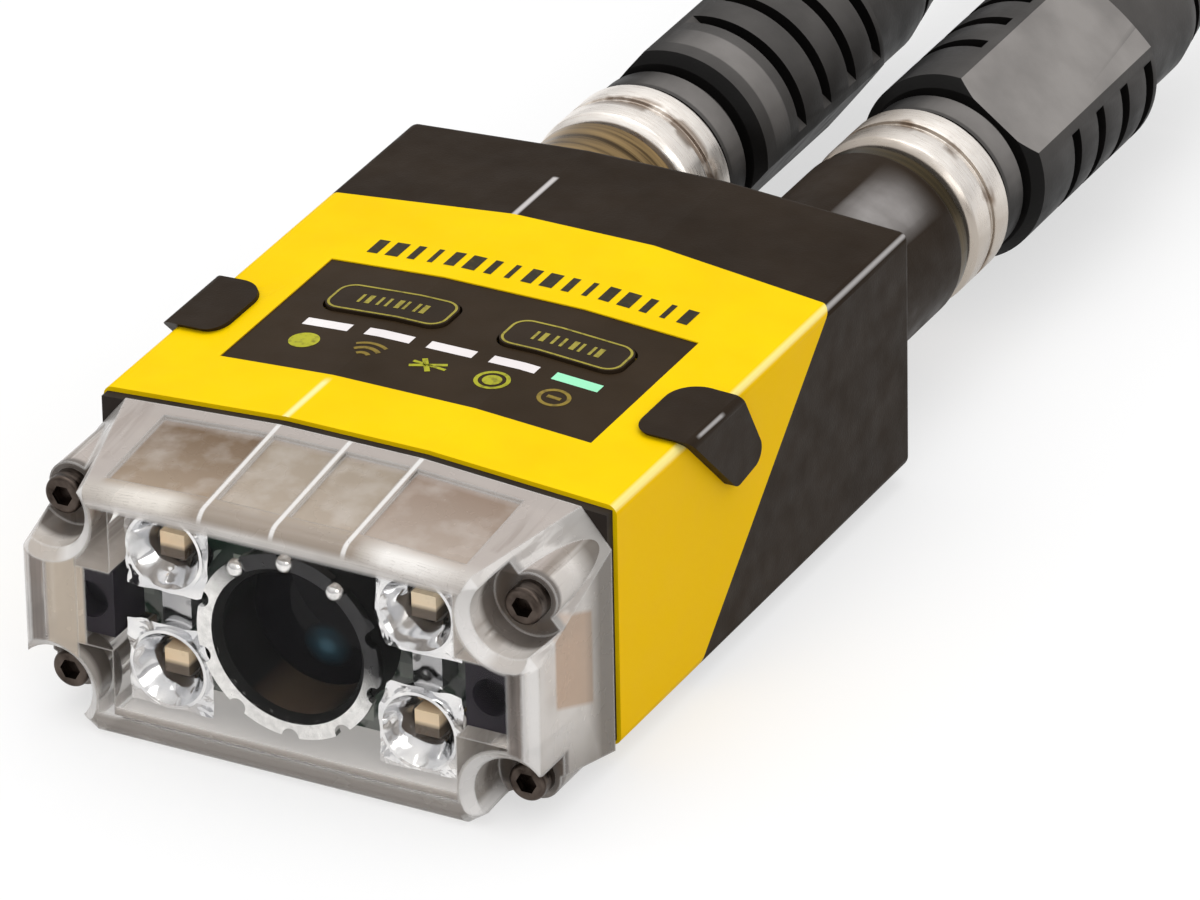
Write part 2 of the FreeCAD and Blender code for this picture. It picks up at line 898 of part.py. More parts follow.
window_block = loft("WindowBlock", [("window_back", WINDOW_BACK), ("window_front", WINDOW_FRONT)])
window_soft = rounded("WindowSoft", window_block, size("window_round"), window_edge)
window_bosses = corner_rods("WindowBoss", "window_boss_radius", "recess_floor", "window_back")
pane_plans = [pane("Right" + name, inner, outer) for name, inner, outer in PANES]
pane_plans += [pane("Left" + name, f"-({outer})", f"-({inner})") for name, inner, outer in PANES]
pane_roof = loft("PaneRoof", [("window_back", PANE_BACK), ("window_front", PANE_FRONT)])
panes = common("Panes", fuse("PanePlans", *pane_plans), pane_roof)
window_cavity = prism("WindowCavity", "x", WINDOW_CAVITY, f"-{CAVITY_HALF}", CAVITY_HALF)
side_cavity = box(
    "SideCavity",
    ("-half + window_wall", "half - window_wall"),
    ("window_front + window_wall", "window_back + wall"),
    ("aimer_low - aimer_gap", "aimer_high + aimer_gap"),
)
keep(
    cut(
        "FrontWindow",
        fuse("WindowSolid", window_soft, *window_bosses),
        window_cavity,
        side_cavity,
        panes,
        *[flare(*corner) for corner in CORNERS],
        *corner_rods("Recess", "recess_radius", "window_front - wall", "recess_floor"),
        *corner_rods("ScrewWay", "screw_radius + key_gap", "window_front", "seam"),
    ),
    "front_window",
)
GASKET = [
    ("-base_half", "gasket_inset"),
    ("base_half", "gasket_inset"),
    ("half - gasket_inset", "base_rise + gasket_inset"),
    ("half - gasket_inset", "shoulder - gasket_inset"),
    ("ridge_half", "housing_height - gasket_inset"),
    ("-ridge_half", "housing_height - gasket_inset"),
    ("-half + gasket_inset", "shoulder - gasket_inset"),
    ("-half + gasket_inset", "base_rise + gasket_inset"),
]
keep(
    cut(
        "WindowGasket",
        prism("GasketBlock", "y", GASKET, "window_back", "seam"),
        hollow,
        *corner_rods("GasketWay", "screw_radius + key_gap", "window_front", "rear"),
    ),
    "window_gasket",
)


def head_rim(edge):
    """The front rim of a screw's head."""
    front = layout.recess_floor - size("screw_head_height")
    return len(edge.Vertexes) == 1 and near(edge.BoundBox.YMax, front)


screws = []
for corner, x, z in CORNERS:
    head_front = "recess_floor - screw_head_height"
    head_plain = rod("Head" + corner, x, z, "screw_head_radius", (head_front, "recess_floor"))
    head = rounded("HeadSoft" + corner, head_plain, size("screw_head_round"), head_rim)
    shank = rod("Shank" + corner, x, z, "screw_radius", ("recess_floor", "seam + screw_reach"))
    key_hole = doc.addObject("Part::Prism", "Hex" + corner)
    key_hole.Polygon = 6
    key_hole.Placement.Rotation = FreeCAD.Rotation(V(1, 0, 0), -90)
    key_hole.setExpression("Circumradius", full("screw_hex"))
    key_hole.setExpression("Height", full("screw_hex_depth"))
    place(key_hole, x, head_front, z)
    screws.append(cut("Screw" + corner, fuse("ScrewBlank" + corner, head, shank), key_hole))
keep(group("WindowScrews", screws), "window_screws")

# Lens: a barrel with a retaining ring, two glass elements and the holder behind the lamps
barrel = cut(
    "Barrel",
    rod("BarrelBody", "0", "lens_height", "barrel_radius", ("barrel_face", "seam + barrel_back")),
    rod("BarrelBore", "0", "lens_height", "lens_radius + fit_gap", ("barrel_face - wall", "rear")),
)
keep(barrel, "lens_barrel")
RING_SPAN = ("barrel_face - ring_depth", "barrel_face")


def ring_notch(number):
    """One of the spanner notches round the ring, the first one at its top."""
    turn = math.pi / 2 + 2 * math.pi * number / copies("ring_notches")
    x = f"ring_radius * {math.cos(turn):.6f}"
    z = f"lens_height + ring_radius * {math.sin(turn):.6f}"
    return rod(f"RingNotch{number}", x, z, "ring_notch_radius", RING_SPAN)


keep(
    cut(
        "RetainingRing",
        rod("RingBody", "0", "lens_height", "ring_radius", RING_SPAN),
        rod("RingBore", "0", "lens_height", "ring_bore_radius", RING_SPAN),
        *[ring_notch(number) for number in range(copies("ring_notches"))],
    ),
    "lens_ring",
)


def dome(name, start, front):
    """A glass disc with one domed face, to the front or to the back."""
    end = f"{start} + lens_thick"
    disc = rod(name + "Disc", "0", "lens_height", "lens_radius", (start, end))
    ball = doc.addObject("Part::Sphere", name + "Ball")
    ball.setExpression("Radius", full("lens_dome_radius"))
    centre = f"{start} + lens_dome_radius" if front else f"{end} - lens_dome_radius"
    place(ball, "0", centre, "lens_height")
    return common(name, disc, ball)


keep(dome("FrontLens", "barrel_face + lens_sink", True), "front_lens")
keep(dome("RearLens", "seam + barrel_back - lens_inset - lens_thick", False), "rear_lens")
holder_block = box(
    "HolderBlock",
    ("-holder_half", "holder_half"),
    ("lamp_board_rear", "sensor_board"),
    ("wall", "lens_height + holder_half"),
)
holder_bore = rod(
    "HolderBore", "0", "lens_height", "barrel_radius + fit_gap", ("window_front", "sensor_board + wall")
)
keep(cut("LensHolder", holder_block, holder_bore), "lens_holder")
keep(
    box(
        "SensorBoard",
        ("-sensor_board_half", "sensor_board_half"),
        ("sensor_board", "sensor_board + board_thick"),
        ("wall", "sensor_board_high"),
    ),
    "sensor_board",
)
keep(
    box(
        "ImageSensor",
        ("-sensor_half", "sensor_half"),
        ("sensor_board - sensor_thick", "sensor_board"),
        ("lens_height - sensor_half", "lens_height + sensor_half"),
    ),
    "image_sensor",
)

# Lamps: a board round the lens with four chips, two reflectors and two aiming units
lamp_plate = box(
    "LampPlate",
    ("-lamp_board_half", "lamp_board_half"),
    ("lamp_board", "lamp_board_rear"),
    ("lamp_board_low", "lamp_board_high"),
)
lamp_wings = box(
    "LampWings",
    ("-aimer_outer", "aimer_outer"),
    ("lamp_board", "lamp_board_rear"),
    ("aimer_low", "aimer_high"),
)
keep(cut("LampBoard", fuse("LampBlank", lamp_plate, lamp_wings), holder_bore), "illumination_board")
LAMPS = [
    (side + level, f"{sign}lamp_across", "lamp_" + level.lower())
    for side, sign in SIDES
    for level in ("Low", "High")
]
chips = [
    box(
        "Chip" + lamp,
        (f"{x} - chip_width / 2", f"{x} + chip_width / 2"),
        ("lamp_board - chip_height", "lamp_board"),
        (f"{z} - chip_width / 2", f"{z} + chip_width / 2"),
    )
    for lamp, x, z in LAMPS
]
keep(group("LampChips", chips), "illumination_leds")
lens_way = rod("LensWay", "0", "lens_height", "ring_radius + reflector_edge", ("window_front", "seam"))


def cup(lamp, x, z):
    """A bowl that opens to the front, and the hole through its floor for the chip."""
    hollow_cone = doc.addObject("Part::Cone", "Cup" + lamp)
    hollow_cone.Placement.Rotation = FreeCAD.Rotation(V(1, 0, 0), -90)
    hollow_cone.setExpression("Radius1", full("cup_radius"))
    hollow_cone.setExpression("Radius2", full("cup_floor_radius"))
    hollow_cone.setExpression("Height", full("cup_depth"))
    place(hollow_cone, x, "reflector_front", z)
    hole = rod("CupHole" + lamp, x, z, "cup_floor_radius", ("reflector_front + cup_depth / 2", "lamp_board"))
    return fuse("CupWay" + lamp, hollow_cone, hole)


for side, sign in SIDES:
    own = [lamp for lamp in LAMPS if lamp[0].startswith(side)]
    bowls = [
        rod("Bowl" + lamp, x, z, "cup_radius + reflector_rim", ("reflector_front", "lamp_board"))
        for lamp, x, z in own
    ]
    web = box(
        side + "ReflectorWeb",
        (f"{sign}lamp_across - reflector_web", f"{sign}lamp_across + reflector_web"),
        ("reflector_front + reflector_web_sink", "lamp_board"),
        ("lamp_low", "lamp_high"),
    )
    cups = [cup(lamp, x, z) for lamp, x, z in own]
    pair = fuse(side + "ReflectorPair", web, *bowls)
    keep(cut(side + "Reflector", pair, lens_way, *cups), side.lower() + "_reflector")
    span = ("aimer_inner", "aimer_outer") if sign == "" else ("-aimer_outer", "-aimer_inner")
    block = box(
        side + "AimerBlock", span, ("lamp_board - aimer_depth", "lamp_board"), ("aimer_low", "aimer_high")
    )
    bore = rod(
        side + "AimerBore",
        f"{sign}(aimer_inner + aimer_outer) / 2",
        "(aimer_low + aimer_high) / 2",
        "aimer_bore",
        ("window_front", "lamp_board - aimer_depth / 2"),
    )
    keep(cut(side + "Aimer", block, bore), side.lower() + "_aimer")

# Main board under the roof, with the switches, light sources and processor
keep(
    box(
        "MainBoard",
        ("-half + wall", "half - wall"),
        ("seam + main_board_front", "seam + main_board_back"),
        ("main_board_low", "main_board_top"),
    ),
    "main_board",
)


def on_board(name, x, station, half, height, way=1):
    """A square component on the top or the underside of the main board."""
    z = ("main_board_top", f"main_board_top + {height}")
    if way < 0:
        z = (f"main_board_low - {height}", "main_board_low")
    y = (f"seam + {station} - {half}", f"seam + {station} + {half}")
    return box(name, (f"{x} - {half}", f"{x} + {half}"), y, z)


switches = [
    on_board(key + "Switch", f"{sign}key_across", "key_station", "switch_half", "switch_height")
    for key, sign, label in KEYS
]
keep(group("KeySwitches", switches), "key_switches")
leds = [
    on_board(
        f"Led{number}",
        light_across(number),
        "light_station",
        "led_half",
        "led_height",
    )
    for number in range(copies("light_count"))
]
keep(group("IndicatorLeds", leds), "indicator_leds")
keep(
    on_board("Processor", "0", "processor_station", "processor_half", "processor_height", way=-1),
    "processor",
)


# Sockets, plugs and coupling nuts: stations along Y count from the end of each collar
def socket(port, x, origin, collar, shell):
    """A threaded metal shell through the collar, flanged inside the rear wall, with a sleeve outside."""
    flange = f"socket_inner - seam - {collar}"
    step = f"rear - wall - seam - {collar}"
    corners = [
        ("socket_bore_radius", flange),
        ("socket_flange_radius", flange),
        ("socket_flange_radius", step),
        ("socket_radius", step),
        ("socket_radius", f"-{shell}"),
        ("shell_radius", f"-{shell}"),
        ("shell_radius", "0"),
        ("thread_radius", "0"),
        ("thread_radius", "thread_length"),
        ("socket_bore_radius", "thread_length"),
    ]
    return turned(port + "Socket", corners, x, origin, "socket_height")


def contacts(port, x, start, end):
    """A ring of contact pins round one pin in the middle."""
    pins = [rod(port + "Pin", x, "socket_height", "contact_radius", (start, end))]
    count = copies("contact_count")
    for step in range(count):
        turn = 2 * math.pi * (step + 0.5) / count
        across = f"{x} + contact_circle * {math.cos(turn):.6f}"
        height = f"socket_height + contact_circle * {math.sin(turn):.6f}"
        pins.append(rod(f"{port}Pin{step}", across, height, "contact_radius", (start, end)))
    return pins


def turned_slab(name, x, across, tall, y):
    """A block round a plug's axis, turned about it with the grip."""
    turn = math.radians(size("grip_turn"))
    sine = round(math.sin(turn), 6)
    cosine = round(math.cos(turn), 6)
    slab = doc.addObject("Part::Box", name)
    slab.Placement.Rotation = FreeCAD.Rotation(V(0, 1, 0), size("grip_turn"))
    slab.setExpression("Length", full(f"2 * {across}"))
    slab.setExpression("Width", full(f"({y[1]}) - ({y[0]})"))
    slab.setExpression("Height", full(f"2 * {tall}"))
    corner_x = f"{x} - {cosine} * {across} - {sine} * {tall}"
    corner_z = f"socket_height + {sine} * {across} - {cosine} * {tall}"
    return place(slab, corner_x, y[0], corner_z)


def plug(port, x, origin, upright_flats):
    """A moulded plug: nose, flange, ring, a grip with plain flats and ribbed sides, and a strain relief."""
    flange = "(thread_length + running_gap)"
    floor = "(nut_gap + nut_length - nut_floor)"
    ring = "(nut_gap + nut_length + running_gap)"
    groove = f"({ring} + plug_ring_length)"
    grip = f"({groove} + plug_groove_length)"
    relief = f"({grip} + grip_length)"
    taper = f"({relief} + relief_length)"
    front = [
        ("plug_nose_bore", "-plug_nose_depth"),
        ("plug_nose_radius", "-plug_nose_depth"),
        ("plug_nose_radius", flange),
        ("plug_flange_radius", flange),
        ("plug_flange_radius", f"{floor} - running_gap"),
        ("plug_sleeve_radius", f"{floor} - running_gap"),
        ("plug_sleeve_radius", ring),
        ("plug_ring_radius", ring),
        ("plug_ring_radius", groove),
        ("plug_groove_radius", groove),
        ("plug_groove_radius", f"{grip} + grip_bevel"),
        ("0", f"{grip} + grip_bevel"),
        ("0", flange),
        ("plug_nose_bore", flange),
    ]
    handle = [
        ("0", grip),
        ("grip_radius - grip_bevel", grip),
        ("grip_radius", f"{grip} + grip_bevel"),
        ("grip_radius", f"{relief} - grip_bevel"),
        ("grip_radius - 2 * grip_bevel", relief),
        ("0", relief),
    ]
    sleeve = [
        ("0", f"{relief} - grip_bevel"),
        ("relief_radius", f"{relief} - grip_bevel"),
        ("relief_radius", taper),
        ("relief_end_radius", f"{taper} + relief_taper"),
        ("0", f"{taper} + relief_taper"),
    ]
    flat = "grip_flat"
    wide = "2 * grip_radius"
    across, tall = (flat, wide) if upright_flats else (wide, flat)
    span = (f"{origin} + {grip} - wall", f"{origin} + {relief} + wall")
    keeper = turned_slab(port + "GripFlats", x, across, tall, span)
    grip_body = common(port + "Grip", turned(port + "Handle", handle, x, origin, "socket_height"), keeper)
    across, tall = (wide, "rib_clear") if upright_flats else ("rib_clear", wide)
    plain = turned_slab(port + "PlainSides", x, across, tall, span)
    cuts = []
    for rib in range(copies("rib_count")):
        start = f"{origin} + {grip} + rib_first + {rib} * rib_pitch"
        gap = (start, f"{start} + rib_gap")
        hoop = cut(
            f"{port}Rib{rib}",
            rod(f"{port}RibOuter{rib}", x, "socket_height", "2 * grip_radius", gap),
            rod(f"{port}RibInner{rib}", x, "socket_height", "rib_floor_radius", gap),
            plain,
        )
        cuts.append(hoop)
    for slot in range(copies("relief_slots")):
        start = f"{origin} + {taper} + {slot + 0.5} * relief_taper / relief_slots"
        gap = (start, f"{start} + relief_slot_width")
        slot_floor = "relief_end_radius - relief_slot_depth"
        hoop = cut(
            f"{port}Slot{slot}",
            rod(f"{port}SlotOuter{slot}", x, "socket_height", "grip_radius", gap),
            rod(f"{port}SlotInner{slot}", x, "socket_height", slot_floor, gap),
        )
        cuts.append(hoop)
    nose = turned(port + "Nose", front, x, origin, "socket_height")
    tail = turned(port + "Relief", sleeve, x, origin, "socket_height")
    solid = fuse(port + "PlugSolid", nose, grip_body, tail)
    return cut(port + "Plug", solid, *cuts), f"{taper} + relief_taper"


def nut(port, x, origin):
    """A coupling nut that turns on the plug's sleeve, with a groove round its middle."""
    end = "(nut_gap + nut_length)"
    middle = "(nut_gap + nut_length / 2)"
    corners = [
        ("nut_bore_radius", "nut_gap"),
        ("nut_radius - nut_bevel", "nut_gap"),
        ("nut_radius", "nut_gap + nut_bevel"),
        ("nut_radius", f"{middle} - nut_groove_width / 2"),
        ("nut_radius - nut_groove_depth", f"{middle} - nut_groove_width / 2"),
        ("nut_radius - nut_groove_depth", f"{middle} + nut_groove_width / 2"),
        ("nut_radius", f"{middle} + nut_groove_width / 2"),
        ("nut_radius", f"{end} - nut_bevel"),
        ("nut_radius - nut_bevel", end),
        ("nut_neck_radius", end),
        ("nut_neck_radius", f"{end} - nut_floor"),
        ("nut_bore_radius", f"{end} - nut_floor"),
    ]
    return turned(port + "Nut", corners, x, origin, "socket_height")


CORD_STARTS = {}
for port, sign, collar, shell in PORTS:
    x = f"{sign}socket_across"
    origin = f"seam + {collar}"
    name = port.lower()
    keep(socket(port, x, origin, collar, shell), name + "_socket")
    core = rod(
        port + "Core",
        x,
        "socket_height",
        "socket_bore_radius - fit_gap",
        ("socket_inner - contact_tail / 2", f"{origin} - plug_nose_depth - insert_face"),
    )
    pins = contacts(port, x, "socket_inner - contact_tail", f"{origin} + contact_reach")
    keep(cut(port + "Insert", core, *pins), name + "_insert")
    keep(group(port + "Contacts", pins), name + "_contacts")
    plug_solid, relief_end = plug(port, x, origin, upright_flats=port == "Power")
    keep(plug_solid, name + "_plug")
    keep(nut(port, x, origin), name + "_nut")
    CORD_STARTS[port] = (x, f"{origin} + {relief_end}")

# Cords: each leaves its strain relief and enters an oval hank, one hank stacked on the other
doc.recompute()


def racetrack(name, half, bottom, top):
    """An upright block with straight sides and round ends, in line with the reader."""
    middle = box(name + "Middle", (f"-({half})", half), ("hank_near", "hank_far"), (bottom, top))
    ends = [post(name + end, "0", f"hank_{end.lower()}", half, (bottom, top)) for end in ("Near", "Far")]
    return fuse(name, middle, *ends)


def hank(name, bottom):
    """The outer shape of a tied oval hank."""
    top = f"{bottom} + hank_height"
    outer = racetrack(name + "Outer", "hank_half", bottom, top)
    inner = racetrack(name + "Inner", "hank_inner", bottom, top)
    return cut(name, outer, inner)


power_hank = keep(hank("PowerHank", "hank_bottom"), "power_cord_hank")
network_hank = keep(hank("NetworkHank", "hank_bottom + hank_height"), "network_cord_hank")


def soft_tube(name, route, radius):
    """A round tube along straight runs, joined by arcs as large as the runs allow."""
    edges = []
    here = route[0]
    for before, corner, after in zip(route, route[1:], route[2:]):
        towards = (corner - before).normalize()
        away = (after - corner).normalize()
        reach = ARC_SHARE * min((corner - before).Length, (after - corner).Length)
        half_turn = math.acos(max(-1.0, min(1.0, towards.dot(away)))) / 2
        bend = reach / math.tan(half_turn)
        start = corner - towards * reach
        end = corner + away * reach
        inward = (away - towards).normalize()
        middle = corner + inward * (bend / math.cos(half_turn) - bend)
        edges.append(Part.LineSegment(here, start).toShape())
        edges.append(Part.Arc(start, middle, end).toShape())
        here = end
    edges.append(Part.LineSegment(here, route[-1]).toShape())
    path = Part.Wire(edges)
    first = (route[1] - route[0]).normalize()
    section = Part.Wire(Part.makeCircle(radius, route[0], first))
    shape = path.makePipeShell([section], True, True)
    tube = doc.addObject("Part::Feature", name)
    tube.Shape = shape
    return tube


def cord_start(port):
    """The middle of the end face of a strain relief."""
    anchor = doc.addObject("App::VarSet", port + "Anchor")
    x, y = CORD_STARTS[port]
    for axis, text in (("across", x), ("along", y)):
        anchor.addProperty("App::PropertyFloat", axis)
        anchor.setExpression(axis, full(text))
    doc.recompute()
    return V(anchor.across, anchor.along, layout.socket_height)


POWER_ROUTE = [
    V(-10.6, 100.0, 10.8),
    V(-13.2, 116.0, 7.4),
    V(-18.4, 131.0, 4.4),
    V(-22.6, 145.0, 3.9),
]
NETWORK_ROUTE = [
    V(10.6, 104.6, 10.8),
    V(13.2, 118.6, 13.6),
    V(18.2, 132.0, 16.4),
    V(22.6, 145.0, 16.6),
]
for port, route, coil in (
    ("Power", POWER_ROUTE, power_hank),
    ("Network", NETWORK_ROUTE, network_hank),
):
    tube = soft_tube(port + "Tube", [cord_start(port), *route], size("cord_radius"))
    keep(cut(port + "Lead", tube, coil), port.lower() + "_cord_lead")

# Far end of the power cord: its tail lies inside the hank and ends in bare cores
tail_x = "-hank_inner + cord_radius"
tail_start = "hank_start + power_tail_start"
keep(
    rod("PowerTail", tail_x, "cord_radius", "cord_radius", (tail_start, f"{tail_start} + tail_length")),
    "power_cord_tail",
)
cores = []
for number in range(copies("core_count")):
    turn = 2 * math.pi * number / copies("core_count")
    cores.append(
        rod(
            f"Core{number}",
            f"{tail_x} + core_circle * {math.cos(turn):.6f}",
            f"cord_radius + core_circle * {math.sin(turn):.6f}",
            "core_radius",
            (f"{tail_start} + tail_length", f"{tail_start} + tail_length + core_length"),
        )
    )
keep(group("PowerCores", cores), "power_cord_cores")

# Far end of the network cord: a modular plug with a boot lies on top of the hank
JACK_X = "(cord_radius * hank_turns - hank_half)"
JACK_Y = "(hank_start + jack_start)"
JACK_Z = "(hank_top + jack_height / 2)"
jack_block = box(
    "JackBlock",
    (f"{JACK_X} - jack_width / 2", f"{JACK_X} + jack_width / 2"),
    (JACK_Y, f"{JACK_Y} + jack_length"),
    ("hank_top", "hank_top + jack_height"),
)
LATCH = [
    (f"{JACK_Y}", f"{JACK_Z} + jack_height / 2 - latch_thick"),
    (f"{JACK_Y} + latch_length", f"{JACK_Z} + jack_height / 2 + latch_rise - latch_thick"),
    (f"{JACK_Y} + latch_length", f"{JACK_Z} + jack_height / 2 + latch_rise"),
    (f"{JACK_Y}", f"{JACK_Z} + jack_height / 2"),
]
latch = prism("JackLatch", "x", LATCH, f"{JACK_X} - latch_width / 2", f"{JACK_X} + latch_width / 2")
BOOT = [
    ("0", "-wall"),
    ("jack_boot_radius", "-wall"),
    ("jack_boot_radius", "0"),
    ("cord_radius + tie_thick", "jack_boot_length"),
    ("0", "jack_boot_length"),
]
boot = turned("JackBoot", BOOT, JACK_X, f"{JACK_Y} + jack_length", JACK_Z)
keep(fuse("NetworkJack", jack_block, latch, boot), "network_cord_plug")
jack_end = f"{JACK_Y} + jack_length + jack_boot_length"
keep(
    rod("NetworkTail", JACK_X, JACK_Z, "cord_radius", (jack_end, f"{jack_end} + tail_length / 2")),
    "network_cord_tail",
)

# Two hook-and-loop ties hold both hanks, one round each straight side
ties = []
for side, sign in SIDES:
    inner = ("hank_inner", "hank_half")
    x = inner if sign == "" else ("-hank_half", "-hank_inner")
    y = ("hank_start + tie_station", "hank_start + tie_station + tie_width")
    band = box(
        side + "TieOuter",
        (f"{x[0]} - tie_thick", f"{x[1]} + tie_thick"),
        y,
        ("0", "hank_top + tie_thick"),
    )
    ties.append(cut(side + "Tie", band, box(side + "TieInner", x, y, ("tie_thick", "hank_top"))))
keep(group("HankTies", ties), "hank_ties")

# Build, check every object and write each piece
doc.recompute()
for thing in doc.Objects:
    if any(state in ("Invalid", "Error") for state in thing.State):
        raise RuntimeError(f"{thing.Name} failed: {thing.State}")
for thing in NODES:
    if thing.Shape.isNull() or not thing.Shape.isValid() or not thing.Shape.Solids:
        raise RuntimeError(f"{thing.Label} has no valid solid")
os.makedirs("parts", exist_ok=True)
for thing in NODES:
    thing.Shape.exportStep(f"parts/{thing.Label}.step")
print(len(NODES), "pieces written")
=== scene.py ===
"""Looks of a compact barcode reader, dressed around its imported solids.

Metres, in the solids' frame: +Z is up, the lens looks along -Y, and plugs and cords run back along +Y.
"""
import json
import math

import bpy
from mathutils import Matrix, Vector
from mathutils import noise as noise_field
from mathutils.bvhtree import BVHTree


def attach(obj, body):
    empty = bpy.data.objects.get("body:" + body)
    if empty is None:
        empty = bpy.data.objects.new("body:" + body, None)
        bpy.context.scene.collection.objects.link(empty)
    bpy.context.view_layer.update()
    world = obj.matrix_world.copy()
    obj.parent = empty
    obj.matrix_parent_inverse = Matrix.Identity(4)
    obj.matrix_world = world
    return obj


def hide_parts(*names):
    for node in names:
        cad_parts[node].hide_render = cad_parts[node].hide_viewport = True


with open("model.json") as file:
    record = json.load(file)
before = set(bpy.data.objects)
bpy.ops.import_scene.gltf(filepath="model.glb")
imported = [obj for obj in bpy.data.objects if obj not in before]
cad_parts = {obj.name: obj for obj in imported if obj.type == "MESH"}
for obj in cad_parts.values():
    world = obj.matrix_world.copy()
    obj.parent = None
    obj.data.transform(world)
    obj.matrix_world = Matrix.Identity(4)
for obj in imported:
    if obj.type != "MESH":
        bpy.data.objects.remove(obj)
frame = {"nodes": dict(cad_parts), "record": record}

MM = 0.001
nodes = frame["nodes"]
slots = {part["node"]: part["material_slot"] for part in frame["record"]["subparts"]}
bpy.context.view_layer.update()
scene = bpy.context.scene
scene.view_settings.view_transform = "Standard"

# Camera, at the photograph's viewing angle
CAMERA_PLACE = Vector((0.353546, -0.650949, 0.411096))
CAMERA_RIGHT = Vector((0.885851, 0.463639, -0.017520))
CAMERA_DOWN = Vector((0.208515, -0.431563, -0.877653))
CAMERA_AHEAD = Vector((-0.414475, 0.773816, -0.478977))
CAMERA_LENS = 337.7


def make_camera():
    """The camera, turned by its own three axes."""
    data = bpy.data.cameras.new("camera")
    data.lens = CAMERA_LENS
    data.sensor_width = 36
    data.clip_start = 0.05
    data.clip_end = 20
    camera = bpy.data.objects.new("camera", data)
    turn = Matrix((CAMERA_RIGHT, -CAMERA_DOWN, -CAMERA_AHEAD)).transposed()
    camera.matrix_world = Matrix.Translation(CAMERA_PLACE) @ turn.to_4x4()
    scene.collection.objects.link(camera)
    scene.camera = camera


make_camera()


# Shader graph helpers: each one returns an output socket
def add(tree, kind, inputs=None, **settings):
    """A new shader node with its settings and its plain input values."""
    made = tree.nodes.new("ShaderNode" + kind)
    for name, value in settings.items():
        setattr(made, name, value)
    for name, value in (inputs or {}).items():
        made.inputs[name].default_value = value
    return made


def feed(tree, socket, value):
    """Sets an input from a number, a colour or another node's output."""
    if isinstance(value, (int, float)):
        socket.default_value = value
    elif isinstance(value, tuple):
        socket.default_value = (*value, 1) if len(value) == 3 and socket.type == "RGBA" else value
    else:
        tree.links.new(value, socket)


def maths(tree, operation, *values):
    """A maths node on numbers or other nodes' outputs."""
    made = add(tree, "Math", operation=operation)
    for socket, value in zip(made.inputs, values):
        feed(tree, socket, value)
    return made.outputs[0]


def product(tree, first, *others):
    """The product of several values."""
    for other in others:
        first = maths(tree, "MULTIPLY", first, other)
    return first


def largest(tree, first, *others):
    """The largest of several values."""
    for other in others:
        first = maths(tree, "MAXIMUM", first, other)
    return first


def ramp(tree, value, start, end, low=0.0, high=1.0):
    """A value that runs from low to high as another runs from start to end."""
    limits = {"From Min": start, "From Max": end, "To Min": low, "To Max": high}
    made = add(tree, "MapRange", limits)
    feed(tree, made.inputs["Value"], value)
    return made.outputs[0]


def near(tree, value, middle, half, soft):
    """One where a value lies within half of a middle, and zero beyond a soft border."""
    gap = maths(tree, "ABSOLUTE", maths(tree, "SUBTRACT", value, middle))
    return ramp(tree, gap, half, half + soft, 1.0, 0.0)


def blend(tree, factor, first, second):
    """A colour between two."""
    made = add(tree, "Mix", data_type="RGBA")
    feed(tree, made.inputs["Factor"], factor)
    feed(tree, made.inputs["A"], first)
    feed(tree, made.inputs["B"], second)
    return made.outputs["Result"]


def place_of(tree):
    """The place on the part, as a vector."""
    return add(tree, "TexCoord").outputs["Object"]


def split(tree, vector):
    """A vector's three parts."""
    made = add(tree, "SeparateXYZ")
    feed(tree, made.inputs[0], vector)
    return made.outputs


def coords(tree):
    """The place on the part along each axis."""
    return split(tree, place_of(tree))


def facing(tree):
    """The way that the surface faces, along each axis."""
    return split(tree, add(tree, "NewGeometry").outputs["Normal"])


def noise(tree, scale, detail=2.0, stretch=None):
    """Noise in the part's own metres, drawn out or packed along the axes by a stretch."""
    made = add(tree, "TexNoise", {"Scale": scale, "Detail": detail})
    place = place_of(tree)
    if stretch is not None:
        mapping = add(tree, "Mapping", {"Scale": stretch})
        feed(tree, mapping.inputs["Vector"], place)
        place = mapping.outputs[0]
    feed(tree, made.inputs["Vector"], place)
    return made.outputs[0]


def distance(tree, place, point):
    """How far a place is from a point."""
    made = add(tree, "VectorMath", operation="DISTANCE")
    feed(tree, made.inputs[0], place)
    feed(tree, made.inputs[1], point)
    return made.outputs["Value"]


def axis_gap(tree, place, across, heights):
    """The distance to the nearest of four axes along Y, mirrored left and right."""
    flat = add(tree, "CombineXYZ")
    feed(tree, flat.inputs["X"], maths(tree, "ABSOLUTE", place["X"]))
    feed(tree, flat.inputs["Z"], place["Z"])
    gaps = [distance(tree, flat.outputs[0], (across, 0.0, height)) for height in heights]
    return maths(tree, "MINIMUM", *gaps)


def bump(tree, shader, height, depth):
    """Surface relief of a depth in metres."""
    relief = add(tree, "Bump", {"Strength": 1.0, "Distance": depth})
    feed(tree, relief.inputs["Height"], height)
    feed(tree, shader.inputs["Normal"], relief.outputs[0])


def new_material(name, **values):
    """A material with a Principled shader; values name its sockets with underscores for spaces."""
    material = bpy.data.materials.new(name)
    material.use_nodes = True
    shader = material.node_tree.nodes["Principled BSDF"]
    for key, value in values.items():
        socket = shader.inputs[key.replace("_", " ").title().replace("Ior", "IOR")]
        feed(material.node_tree, socket, value)
    return material, material.node_tree, shader


def moulded(name, dark, light, rough, grain, depth, **values):
    """Moulded plastic or rubber: clouded colour, uneven gloss and a fine eroded grain."""
    material, tree, shader = new_material(name, **values)
    cloud = ramp(tree, noise(tree, 140.0, 3.0), 0.3, 0.7)
    feed(tree, shader.inputs["Base Color"], blend(tree, cloud, dark, light))
    feed(tree, shader.inputs["Roughness"], ramp(tree, noise(tree, 420.0, 4.0), 0.3, 0.7, *rough))
    bump(tree, shader, noise(tree, grain), depth)
    return material


